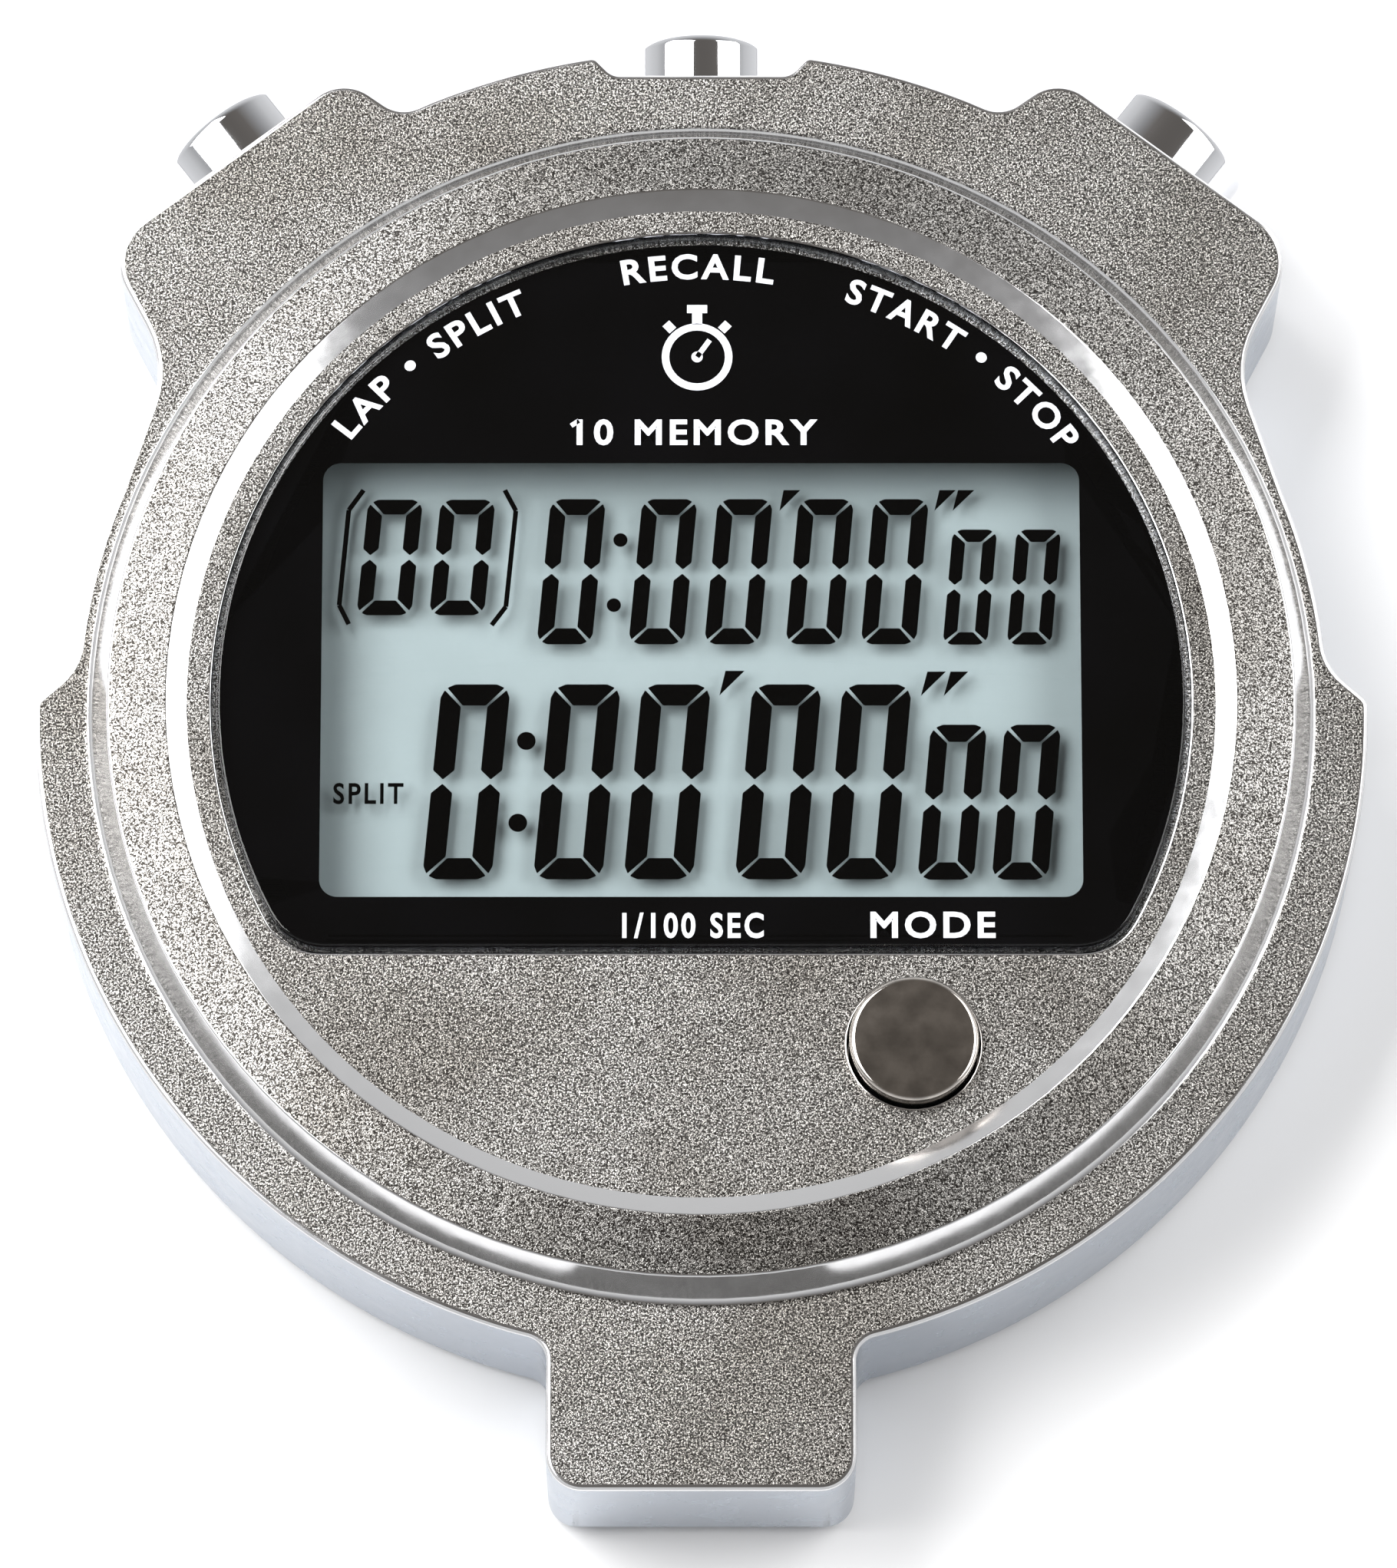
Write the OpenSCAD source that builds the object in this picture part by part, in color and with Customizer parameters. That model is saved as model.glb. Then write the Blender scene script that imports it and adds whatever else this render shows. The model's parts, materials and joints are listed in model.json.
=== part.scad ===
// Digital stopwatch with a die-cast metal case, three side pushers and one face button.
// It lies on its back. The origin is on the dial's axis, on the outer face of the back cover.
// +Z comes out of the dial and +Y points to the middle pusher. Millimetres.

/* [Case] */
// Width of the case across its lower rim
body_w = 65.5; // [58:0.5:80]
// Height of the case's front rim above the surface it lies on
body_h = 9.9; // [9.6:0.1:14]
// How far the back cover stands out behind the case
cover_proud = 0.4; // [0.2:0.1:0.8]
// Wall between the case's lower rim and the inner cavity
wall = 5.75; // [5.2:0.05:6.5]
// Width of the front rim outside the raised ring
rim_w = 2.75; // [2:0.05:3.5]
// Thickness of the dial plate
dial_t = 1.9; // [1.7:0.1:2.5]
// How far the upper rim stands out past the lower rim
crown_rise = 1.65; // [1:0.05:3]
// How far the waist under the shoulders lies inside the lower rim
waist_drop = 1.95; // [1:0.05:2.2]
// How far the pusher flats of the shoulders stand out past the lower rim
shoulder_rise = 4.3; // [3.5:0.1:6]
// Reach of each shoulder's flat from its pusher towards the top
shoulder_in = 5.9; // [5:0.1:6.5]
// Reach of each shoulder's flat from its pusher towards the waist
shoulder_out = 9; // [8:0.1:10]
// How far the floor of the top notch stands out past the lower rim
notch_rise = 0.3; // [0.1:0.1:1]
// Width of the top notch's floor
notch_w = 8.8; // [8.6:0.1:11]

/* [Raised ring] */
// Height of the ring's outer shoulder and of the dial above the front rim
ring_rise = 1.7; // [1:0.1:2.5]
// Extra height of the ring's inner crest
crest_rise = 0.6; // [0.3:0.1:1]
// Width of the ring's outer chamfer
ring_chamfer = 0.9; // [0.5:0.1:1.2]
// Width of the ring's satin band
ring_band = 2.9; // [2:0.1:3.5]
// Width of the ring's inner chamfer
crest_chamfer = 1.0; // [0.6:0.1:1.4]

/* [Lanyard tab] */
// Width of the tab
tab_w = 15; // [12:0.1:18]
// How far the tab stands out past the lower rim
tab_l = 6.5; // [6.4:0.05:10]
// Radius of the round along the tab's back edge
heel_r = 1.3; // [0.5:0.1:2]
// Width of the pocket behind the tab
pocket_w = 9.2; // [6:0.1:10]
// Length of the pocket along the tab
pocket_l = 8.2; // [8:0.1:10]
// Depth of the pocket from the case's back edge
pocket_d = 6.5; // [5:0.1:7]
// Radius of the bar that the lanyard goes round
bar_r = 0.8; // [0.6:0.05:1]

/* [Lens and display] */
// Gap between the ring's crest chamfer and the lens hole
lens_margin = 1.2; // [0.6:0.05:3]
// Clearance all round the lens in its hole
lens_gap = 0.25; // [0.1:0.05:0.3]
// Height of the lens above the dial
lens_proud = 0.4; // [0.1:0.1:0.8]
// Thickness of the lens
lens_t = 1.35; // [1:0.05:1.6]
// Distance from the dial's axis down to the lens's straight edge
lens_flat = 12.7; // [10:0.1:16]
// Radius of the lens's two lower corners
lens_corner = 3; // [1:0.5:5]
// Width of the ledge that the lens is glued to
ledge_w = 1.3; // [0.8:0.1:1.8]
// Margin between the lens's edge and the display window at each side
window_side = 5.1; // [4.5:0.05:8]
// Margin between the lens's edge and the display window's upper corners
window_corner_gap = 1.35; // [1.2:0.05:3]
// Margin between the lens's straight edge and the display window
window_foot = 2.85; // [2:0.05:4]
// Thickness of each sheet of the display's glass
glass_t = 0.7; // [0.5:0.05:0.8]
// How far the display's glass reaches past the window at each side
glass_lap = 1.1; // [0.8:0.1:1.6]
// How far the display's rear glass reaches past the window above and below, on average
rear_lap = 0.9; // [0.6:0.05:0.9]

/* [Pushers] */
// Angle of the side pushers from the top one
pusher_angle = 37.5; // [36:0.5:40]
// Radius of a pusher's cap
cap_r = 3.95; // [3.3:0.05:4]
// How far a cap stands out of its flat
cap_out = 2.7; // [1.8:0.1:4]
// Travel of a pusher
pusher_travel = 1.0; // [0.5:0.1:1.2]
// Radius of a pusher's stem
stem_r = 1.5; // [1.2:0.05:1.6]

/* [Mode button] */
// Radius of the face button
mode_r = 3.15; // [2.5:0.05:3.5]
// Height of the face button above the dial
mode_out = 1.1; // [0.9:0.1:2]
// Travel of the face button
mode_travel = 0.8; // [0.4:0.1:0.9]

/* [Back cover and electronics] */
// Thickness of the back cover
cover_t = 1.2; // [0.8:0.1:1.3]
// Radius of a cover screw's thread
cover_screw_r = 0.8; // [0.6:0.05:0.9]
// Thickness of the circuit board
board_t = 1.0; // [0.8:0.1:1.2]
// Radius of the coin cell
cell_r = 10; // [8:0.25:11]
// Thickness of the coin cell
cell_t = 3.2; // [2:0.1:3.2]
// Radius of the buzzer's brass plate
buzzer_r = 10; // [7:0.5:10]

/* [Hidden] */
$fn = 96;

// Colours of the finishes
satin_chrome = [0.62, 0.61, 0.59];
bright_chrome = [0.80, 0.80, 0.82];
clear_acrylic = [0.85, 0.88, 0.90, 0.35];
print_black = [0.02, 0.02, 0.02];
rubber_black = [0.06, 0.06, 0.06];
spring_steel = [0.55, 0.56, 0.58];
brass_yellow = [0.78, 0.62, 0.32];
board_green = [0.10, 0.30, 0.16];
display_grey = [0.64, 0.70, 0.71];
ceramic_white = [0.88, 0.88, 0.85];

// Small allowances
eps = 1;             // how far a cutting solid runs past what it cuts
slip = 0.05;         // radial clearance of a sliding stem
seat_gap = 0.05;     // gap between a clip and what it rests on
loose = 0.15;        // clearance round a piece dropped into a pocket
sheet_t = 0.1;       // thickness of printed, glued and insulating sheets
film_t = 0.2;        // thickness of polariser and reflector films
leaf_t = 0.2;        // thickness of contact metal
gasket_t = 0.3;      // thickness of the cover's gasket
cell_room = 0.35;    // gap between the coin cell and the board

// Radii about the dial's axis
rim_r = body_w / 2;
cavity_r = rim_r - wall;
crown_r = rim_r + crown_rise;
waist_r = rim_r - waist_drop;
shoulder_u = rim_r + shoulder_rise;
notch_u = rim_r + notch_rise;
tab_end = rim_r + tab_l;
ring_base_r = rim_r - rim_w;
ring_top_r = ring_base_r - ring_chamfer;
crest_r = ring_top_r - ring_band;
dial_r = crest_r - crest_chamfer;
lens_hole_r = dial_r - lens_margin;
lens_r = lens_hole_r - lens_gap;

// Heights
back_z = cover_proud;
ledge_z = cover_t + gasket_t;
dial_z = body_h + ring_rise;
dial_under_z = dial_z - dial_t;
lens_top_z = dial_z + lens_proud;
lens_z = lens_top_z - lens_t;
mask_z = lens_z - sheet_t;
lens_floor_z = mask_z - sheet_t;
display_top_z = dial_under_z - loose - seat_gap;
front_glass_z = display_top_z - film_t - glass_t;
rear_glass_z = front_glass_z - glass_t;
reflector_z = rear_glass_z - film_t;
board_top_z = cover_t + sheet_t + leaf_t + cell_t + cell_room + board_t;
board_z = board_top_z - board_t;

// Window of the display, between the lens's printed borders
window_x = lens_r - window_side;
window_hi = sqrt(pow(lens_r - window_corner_gap, 2) - window_x * window_x);
window_lo = -lens_flat + window_foot;
window_corner = 0.9;

// The display, a little above the window's middle to leave room for the mode button
display_up = 0.65;
display_y = (window_hi + window_lo) / 2 + display_up;
zebra_w = 1.6;
zebra_gap = 0.2;
frame_wall = 0.8;
frame_rib = 1.5;
glass_x = window_x + glass_lap;
rear_glass_half = (window_hi - window_lo) / 2 + rear_lap;
front_glass_half = rear_glass_half + zebra_w + 2.5 * zebra_gap;
zebra_y = front_glass_half - zebra_gap - zebra_w / 2;
sheet_margin = 0.5;  // how far the films stop short of the glass's sides
foil_margin = 0.1;   // how far the reflector stops short of the rear glass

// Back cover, its gasket and its screws
cover_lap = 1.3;
cover_boss_r = 2.2;
boss_bite = 0.25;    // how far the screws' columns run into the case's wall
gasket_w = cover_lap - boss_bite - 2 * seat_gap - loose;
cover_r = cavity_r + cover_lap - loose;
cover_screw_u = cavity_r + boss_bite - cover_boss_r;
cover_screws_at = [for (a = [-98, -18.5, 18.5, 98, 180]) polar(cover_screw_u, a)];
screw_head_r = 2 * cover_screw_r;
cover_screw_l = 5;
thread_gap = 0.02;

// Circuit board and what holds it
board_r = cavity_r - 1;
board_screws_at = [for (a = [-134.5, -69, 69, 134.5]) polar(cavity_r - 2.5, a)];
board_boss_r = 1.5;
board_screw_r = 0.6;
board_screw_head_r = 1.3;
board_screw_head_h = 0.7;
board_screw_l = 2.6;

// Pushers
pusher_z = (back_z + body_h) / 2 - 0.1;
cap_gap = 0.1;
cap_sunk = pusher_travel + 0.6;
recess_d = cap_sunk + pusher_travel + 0.1;
cap_round = 0.6;
cap_roof = 1.2;
skirt_t = 0.9;
bush_r = stem_r + slip + 0.65;
bush_end_u = cavity_r + 0.2;
clip_r = stem_r + 1.1;
clip_t = 0.4;
clip_groove = 0.4;
clip_u = bush_end_u - seat_gap - clip_t;
stem_end_u = clip_u - 0.65;
spot_r = clip_r + 0.6;
o_ring_t = 0.28;
o_ring_groove = 0.55;
o_ring_u = bush_end_u + 1.6;
spring_wire_r = 0.2;
spring_r = 2.25;
leaf_w = 5;
leaf_u = stem_end_u - pusher_travel - 0.1 - leaf_t;

// Mode button
mode_angle = 149.5;
mode_margin = 1.64;
mode_gap = 0.1;
mode_at = polar(dial_r - mode_margin - mode_r - mode_gap, mode_angle);
mode_round = 0.35;
mode_lip = 0.75;
mode_lip_t = 0.5;
mode_stem_r = 1;
mode_seal_t = 0.25;
mode_lip_z = dial_under_z - mode_seal_t - mode_lip_t;
mode_stem_z = board_top_z + mode_travel + 0.3;

// Coin cell and buzzer on the board's back
insulator_r = cell_r + 0.4;
cell_y = -cover_screw_u + cover_boss_r + insulator_r + loose;
buzzer_y = cell_y + cell_r + buzzer_r + 3;
buzzer_sheet_t = 0.2;
ceramic_r = buzzer_r - 3;

// Chip and crystal, at the board's edge between the cell and the buzzer
parts_y = buzzer_y - 8;
chip_x = board_r - 9.9;
crystal_x = board_r - 13;

// Bends of the case's outline. Angles are clockwise from the top of the dial.
notch_flare = 0.9;
notch_floor_round = 0.9;
notch_lip_round = 0.5;
shoulder_start = pusher_angle - 11.6;
shoulder_end = pusher_angle + 18.6;
shoulder_end_drop = 0.8;
shoulder_foot_round = 1.6;
shoulder_in_round = 2.2;
shoulder_out_round = 2.8;
shoulder_end_round = 5.3;
waist_start = 69;
waist_end = 83;
waist_round = 3;
hip_angle = 89.4;
hip_round = 0.7;
tab_root_round = 1.2;
tab_end_round = 1.8;
arc_clear = 1.5;     // angle left free between an arc and a rounded bend

// A point at a radius and a clockwise angle from the top of the dial
function polar(r, a) = [r * sin(a), r * cos(a)];
// A point seen along a pusher's axis: u outwards, v to its right
function along(a, u, v) = [u * sin(a) + v * cos(a), u * cos(a) - v * sin(a)];
function unit(v) = v / norm(v);
function flat2(p) = [p[0], p[1]];
function arc(r, a0, a1, step = 1.5) =
  let (n = ceil(abs(a1 - a0) / step)) [for (i = [0:n]) concat(polar(r, a0 + (a1 - a0) * i / n), 0)];

// Replaces a corner of radius c[2] at point c, between points p and n, by an arc
function corner(p, c, n) = c[2] == 0 ? [flat2(c)] :
  let (
    o = flat2(c),
    u = unit(flat2(p) - o),
    v = unit(flat2(n) - o),
    half = acos(u * v) / 2,
    centre = o + unit(u + v) * c[2] / sin(half),
    start = o + u * c[2] / tan(half) - centre,
    turn = (u[0] * v[1] - u[1] * v[0] > 0 ? -1 : 1) * (180 - 2 * half),
    steps = max(3, ceil(abs(turn) / 8))
  )
  [for (i = [0:steps]) let (t = turn * i / steps)
    centre + [start[0] * cos(t) - start[1] * sin(t), start[0] * sin(t) + start[1] * cos(t)]];

// A closed outline whose points are [x, y, corner radius]
function rounded(points) =
  let (n = len(points))
  [for (i = [0:n - 1]) each corner(points[(i + n - 1) % n], points[i], points[(i + 1) % n])];

function mirrored(points) = [for (i = [len(points) - 1:-1:0]) [-points[i][0], points[i][1], points[i][2]]];

// Right half of the case's outline, clockwise from the top notch to the tab's end
function case_half() =
  let (
    half_notch = notch_w / 2,
    crown_start = asin((half_notch + notch_flare) / crown_r),
    half_tab = tab_w / 2,
    tab_angle = 180 - asin(half_tab / rim_r)
  )
  concat(
    [[half_notch, notch_u, notch_floor_round], concat(polar(crown_r, crown_start), notch_lip_round)],
    arc(crown_r, crown_start + arc_clear, shoulder_start - 2 * arc_clear),
    [concat(polar(crown_r, shoulder_start), shoulder_foot_round),
     concat(along(pusher_angle, shoulder_u, -shoulder_in), shoulder_in_round),
     concat(along(pusher_angle, shoulder_u, shoulder_out), shoulder_out_round),
     concat(polar(rim_r - shoulder_end_drop, shoulder_end), shoulder_end_round)],
    arc(waist_r, waist_start, waist_end),
    [concat(polar(waist_r, waist_end + 2 * arc_clear), waist_round),
     concat(polar(rim_r, hip_angle), hip_round)],
    arc(rim_r, hip_angle + arc_clear, tab_angle - 2 * arc_clear),
    [concat(polar(rim_r, tab_angle), tab_root_round), [half_tab, -tab_end, tab_end_round]]
  );

function case_outline() = let (half = case_half()) rounded(concat(half, mirrored(half)));

// Outline of the lens: a circle cut straight across, with two round corners
function lens_outline(r, drop, c) =
  let (
    y = -drop + c,
    x = sqrt(pow(r - c, 2) - y * y),
    a = atan2(x, y)
  )
  concat([for (p = arc(r, -a, a, 2)) flat2(p)],
    [for (i = [1:7]) let (t = a + (180 - a) * i / 7) [x + c * sin(t), y + c * cos(t)]],
    [for (i = [0:6]) let (t = 180 + (180 - a) * i / 7) [-x + c * sin(t), y + c * cos(t)]]);

function box_outline(x, lo, hi, c) = rounded([[-x, lo, c], [-x, hi, c], [x, hi, c], [x, lo, c]]);

// A round wire of radius wire wound into turns from z = 0 to z = length, about radius r
module coil(r, length, wire, turns) {
  sides = 6;
  per_turn = 16;
  n = turns * per_turn;
  rise = (length - 2 * wire) / n;
  points = [for (i = [0:n], j = [0:sides - 1])
    let (a = 360 * i / per_turn, b = 360 * j / sides, q = r + wire * cos(b))
    [q * cos(a), q * sin(a), wire + rise * i + wire * sin(b)]];
  function at(i, j) = i * sides + j % sides;
  skin = [for (i = [0:n - 1], j = [0:sides - 1]) each
    [[at(i, j), at(i + 1, j), at(i + 1, j + 1)], [at(i, j), at(i + 1, j + 1), at(i, j + 1)]]];
  ends = [[for (j = [0:sides - 1]) j], [for (j = [sides - 1:-1:0]) at(n, j)]];
  polyhedron(points = points, faces = concat(skin, ends));
}

module tube(outer, inner, h) {
  difference() {
    cylinder(r = outer, h = h);
    translate([0, 0, -eps]) cylinder(r = inner, h = h + 2 * eps);
  }
}

// Puts a shape whose axis is +Z on a pusher's axis, outwards
module on_pusher(a) {
  translate([0, 0, pusher_z]) rotate([0, 0, -a]) rotate([-90, 0, 0]) children();
}

// Copies a shape to each point
module at_points(points) {
  for (p = points) translate([p[0], p[1], 0]) children();
}

function flat_u(a) = a == 0 ? notch_u : shoulder_u;

// ---- Case ----

module case_body() {
  translate([0, 0, back_z]) linear_extrude(height = body_h - back_z) polygon(case_outline());
  rotate_extrude() polygon([[0, body_h - eps], [ring_base_r, body_h - eps], [ring_base_r, body_h],
    [ring_top_r, dial_z], [crest_r, dial_z + crest_rise], [dial_r, dial_z], [0, dial_z]]);
}

// The inside, less the columns that the screws go into
module case_cavity() {
  difference() {
    translate([0, 0, ledge_z]) cylinder(r = cavity_r, h = dial_under_z - ledge_z);
    translate([0, 0, cover_t]) at_points(cover_screws_at)
      cylinder(r = cover_boss_r, h = dial_under_z);
    translate([0, 0, board_top_z]) at_points(board_screws_at)
      cylinder(r = board_boss_r, h = dial_under_z);
  }
}

module cover_recess() {
  difference() {
    translate([0, 0, back_z - eps]) cylinder(r = cover_r + loose, h = ledge_z - back_z + eps);
    translate([0, 0, cover_t]) at_points(cover_screws_at)
      cylinder(r = cover_boss_r, h = dial_under_z);
  }
}

module pusher_bores(a) {
  floor_u = flat_u(a) - recess_d;
  on_pusher(a) {
    translate([0, 0, floor_u]) cylinder(r = cap_r + cap_gap, h = recess_d + 3 * eps);
    translate([0, 0, cavity_r - eps]) cylinder(r = bush_r, h = floor_u - cavity_r + 2 * eps);
    translate([0, 0, cavity_r - 2 * eps]) cylinder(r = spot_r, h = bush_end_u - cavity_r + 2 * eps);
  }
}

module lanyard_pocket() {
  y = -tab_end + pocket_end_wall;
  translate([0, 0, back_z - eps]) linear_extrude(height = pocket_d + eps)
    polygon(box_outline(pocket_w / 2, y, y + pocket_l, pocket_round));
}

// What is cut off to round the tab's back edge
module tab_heel() {
  translate([-tab_w, -tab_end + heel_r, back_z + heel_r]) rotate([0, 90, 0]) difference() {
    translate([0, -2 * heel_r, 0]) cube([2 * heel_r, 2 * heel_r, 2 * tab_w]);
    translate([0, 0, -eps]) cylinder(r = heel_r, h = 2 * tab_w + 2 * eps);
  }
}

pocket_end_wall = 1.65;
pocket_round = 1;
bar_in = 3;          // from the pocket's end to the bar's axis
bar_under = 0.7;     // from the case's back edge to the bar
bar_sunk = 0.1;      // how far the bar's end lies inside the tab's side
bar_bite = 1.4;      // how far the bar runs into the tab past the pocket
bar_y = -tab_end + pocket_end_wall + bar_in;
bar_z = back_z + bar_r + bar_under;
bar_from = -tab_w / 2 + bar_sunk;
bar_to = pocket_w / 2 + bar_bite;

module front_case() {
  color(satin_chrome) difference() {
    case_body();
    cover_recess();
    case_cavity();
    translate([0, 0, lens_floor_z]) linear_extrude(height = 3 * eps)
      polygon(lens_outline(lens_hole_r, lens_flat + lens_gap, lens_corner));
    translate([0, 0, dial_under_z - eps]) linear_extrude(height = 3 * eps)
      polygon(lens_outline(lens_hole_r - ledge_w, lens_flat + lens_gap - ledge_w, lens_corner - ledge_w));
    translate([0, 0, dial_under_z - eps]) at_points([mode_at])
      cylinder(r = mode_r + mode_gap, h = dial_t + 2 * eps);
    for (a = [-pusher_angle, 0, pusher_angle]) pusher_bores(a);
    lanyard_pocket();
    tab_heel();
    translate([-tab_w, bar_y, bar_z]) rotate([0, 90, 0]) cylinder(r = bar_r, h = tab_w + bar_to);
    translate([0, 0, cover_t - eps]) at_points(cover_screws_at)
      cylinder(r = cover_screw_r + thread_gap, h = cover_screw_l + eps);
    translate([0, 0, board_top_z - eps]) at_points(board_screws_at)
      cylinder(r = board_screw_r + thread_gap, h = board_screw_l);
  }
}

module lanyard_bar() {
  color(bright_chrome) translate([bar_from, bar_y, bar_z]) rotate([0, 90, 0])
    cylinder(r = bar_r, h = bar_to - bar_from);
}

// ---- Lens and display ----

module lens() {
  color(clear_acrylic) translate([0, 0, lens_z]) linear_extrude(height = lens_t)
    polygon(lens_outline(lens_r, lens_flat, lens_corner));
}

module lens_mask() {
  color(print_black) translate([0, 0, mask_z]) linear_extrude(height = sheet_t) difference() {
    polygon(lens_outline(lens_r, lens_flat, lens_corner));
    polygon(box_outline(window_x, window_lo, window_hi, window_corner));
  }
}

module lens_adhesive() {
  color(rubber_black) translate([0, 0, lens_floor_z]) linear_extrude(height = sheet_t) difference() {
    polygon(lens_outline(lens_r, lens_flat, lens_corner));
    polygon(lens_outline(lens_r - ledge_w, lens_flat - ledge_w, lens_corner - ledge_w));
  }
}

// A sheet centred on the display, from height z
module display_sheet(x, y_half, z, t) {
  translate([-x, display_y - y_half, z]) cube([2 * x, 2 * y_half, t]);
}

module display_front_polariser() {
  color(display_grey) display_sheet(glass_x - sheet_margin, rear_glass_half, front_glass_z + glass_t, film_t);
}

module display_front_glass() {
  color(clear_acrylic) display_sheet(glass_x, front_glass_half, front_glass_z, glass_t);
}

module display_rear_glass() {
  color(clear_acrylic) display_sheet(glass_x, rear_glass_half, rear_glass_z, glass_t);
}

module display_reflector() {
  color(display_grey)
    display_sheet(glass_x - sheet_margin, rear_glass_half - foil_margin, reflector_z, film_t);
}

module zebra_strip(side) {
  color(rubber_black) translate([-glass_x + 1, display_y + side * zebra_y - zebra_w / 2, board_top_z])
    cube([2 * glass_x - 2, zebra_w, front_glass_z - board_top_z]);
}

module upper_zebra_strip() zebra_strip(1);
module lower_zebra_strip() zebra_strip(-1);

module display_frame() {
  x = glass_x + loose;
  y = front_glass_half + loose;
  rib = rear_glass_half - frame_rib;
  color(rubber_black) difference() {
    display_sheet(x + frame_wall, y + frame_wall, board_top_z, display_top_z - board_top_z);
    display_sheet(x, y, front_glass_z, 2 * eps);
    display_sheet(x, rear_glass_half + loose, reflector_z, 2 * eps);
    display_sheet(x - 1, rib, board_top_z - eps, front_glass_z);
    for (side = [-1, 1]) translate([-glass_x + 1 - loose, display_y + side * zebra_y - zebra_w / 2 - loose,
        board_top_z - eps])
      cube([2 * (glass_x - 1 + loose), zebra_w + 2 * loose, front_glass_z]);
  }
}

// ---- Pushers ----

// Cap and stem turned in one piece; u = 0 on the dial's axis
module pusher(a) {
  flat = flat_u(a);
  end = flat + cap_out;
  roof = flat + cap_roof;
  skirt = flat - cap_sunk;
  groove = o_ring_t + 0.02;
  rounding = [for (i = [0:6])
    [cap_r - cap_round + cap_round * cos(15 * i), end - cap_round + cap_round * sin(15 * i)]];
  color(bright_chrome) on_pusher(a) rotate_extrude() polygon(concat(
    [[0, stem_end_u], [stem_r - 0.2, stem_end_u], [stem_r, stem_end_u + 0.2],
     [stem_r, clip_u - 0.02], [stem_r - clip_groove, clip_u - 0.02],
     [stem_r - clip_groove, clip_u + clip_t + 0.02], [stem_r, clip_u + clip_t + 0.02],
     [stem_r, o_ring_u - groove], [stem_r - o_ring_groove, o_ring_u - groove],
     [stem_r - o_ring_groove, o_ring_u + groove], [stem_r, o_ring_u + groove],
     [stem_r, roof], [cap_r - skirt_t, roof], [cap_r - skirt_t, skirt], [cap_r, skirt]],
    rounding, [[0, end]]));
}

module bush(a) {
  color(brass_yellow) on_pusher(a) translate([0, 0, bush_end_u])
    tube(bush_r, stem_r + slip, flat_u(a) - recess_d - bush_end_u);
}

module o_ring(a) {
  color(rubber_black) on_pusher(a) translate([0, 0, o_ring_u]) rotate_extrude()
    translate([stem_r - o_ring_groove + o_ring_t + 0.005, 0]) circle(r = o_ring_t);
}

module pusher_spring(a) {
  from = flat_u(a) - recess_d;
  color(spring_steel) on_pusher(a) translate([0, 0, from])
    coil(spring_r, flat_u(a) + cap_roof - from, spring_wire_r, 5);
}

// A washer with a slot, snapped into the stem's groove
module retaining_clip(a) {
  neck = stem_r - clip_groove + 0.02;
  color(spring_steel) on_pusher(a) translate([0, 0, clip_u]) difference() {
    tube(clip_r, neck, clip_t);
    translate([0, -neck * 0.8, -eps]) cube([clip_r + eps, 2 * neck * 0.8, clip_t + 2 * eps]);
  }
}

// A blade that the stem presses, with a foot soldered under the board
module switch_leaf(a) {
  low = 1.6;
  high = 1.2;
  foot = 2.6;
  color(brass_yellow) on_pusher(a) union() {
    translate([-leaf_w / 2, -high, leaf_u]) cube([leaf_w, low + high, leaf_t]);
    translate([-leaf_w / 2, pusher_z - board_z, leaf_u - foot]) cube([leaf_w, leaf_t, foot + leaf_t / 2]);
  }
}

module lap_pusher() pusher(-pusher_angle);
module lap_bush() bush(-pusher_angle);
module lap_o_ring() o_ring(-pusher_angle);
module lap_spring() pusher_spring(-pusher_angle);
module lap_retaining_clip() retaining_clip(-pusher_angle);
module lap_switch_leaf() switch_leaf(-pusher_angle);
module recall_pusher() pusher(0);
module recall_bush() bush(0);
module recall_o_ring() o_ring(0);
module recall_spring() pusher_spring(0);
module recall_retaining_clip() retaining_clip(0);
module recall_switch_leaf() switch_leaf(0);
module start_pusher() pusher(pusher_angle);
module start_bush() bush(pusher_angle);
module start_o_ring() o_ring(pusher_angle);
module start_spring() pusher_spring(pusher_angle);
module start_retaining_clip() retaining_clip(pusher_angle);
module start_switch_leaf() switch_leaf(pusher_angle);

// ---- Mode button ----

module mode_button() {
  top = dial_z + mode_out;
  rounding = [for (i = [0:4])
    [mode_r - mode_round + mode_round * cos(22.5 * i), top - mode_round + mode_round * sin(22.5 * i)]];
  color(bright_chrome) at_points([mode_at]) rotate_extrude() polygon(concat(
    [[0, mode_stem_z], [mode_stem_r, mode_stem_z], [mode_stem_r, mode_lip_z], [mode_r + mode_lip, mode_lip_z],
     [mode_r + mode_lip, mode_lip_z + mode_lip_t], [mode_r, mode_lip_z + mode_lip_t]],
    rounding, [[0, top]]));
}

module mode_seal() {
  color(rubber_black) at_points([mode_at]) translate([0, 0, dial_under_z - mode_seal_t])
    tube(mode_r + mode_lip, mode_r + slip, mode_seal_t);
}

module mode_spring() {
  color(spring_steel) at_points([mode_at]) translate([0, 0, board_top_z])
    coil(spring_r + 0.3, mode_lip_z - board_top_z, 0.15, 4);
}

// A domed snap disc on the board
module mode_contact() {
  dome_r = 1.9;
  dome_h = 0.25;
  ball_r = (dome_r * dome_r + dome_h * dome_h) / (2 * dome_h);
  color(brass_yellow) at_points([mode_at]) translate([0, 0, board_top_z]) intersection() {
    translate([0, 0, dome_h - ball_r]) sphere(r = ball_r);
    cylinder(r = dome_r + eps, h = 1);
  }
}

// ---- Circuit board and what it carries ----

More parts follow.
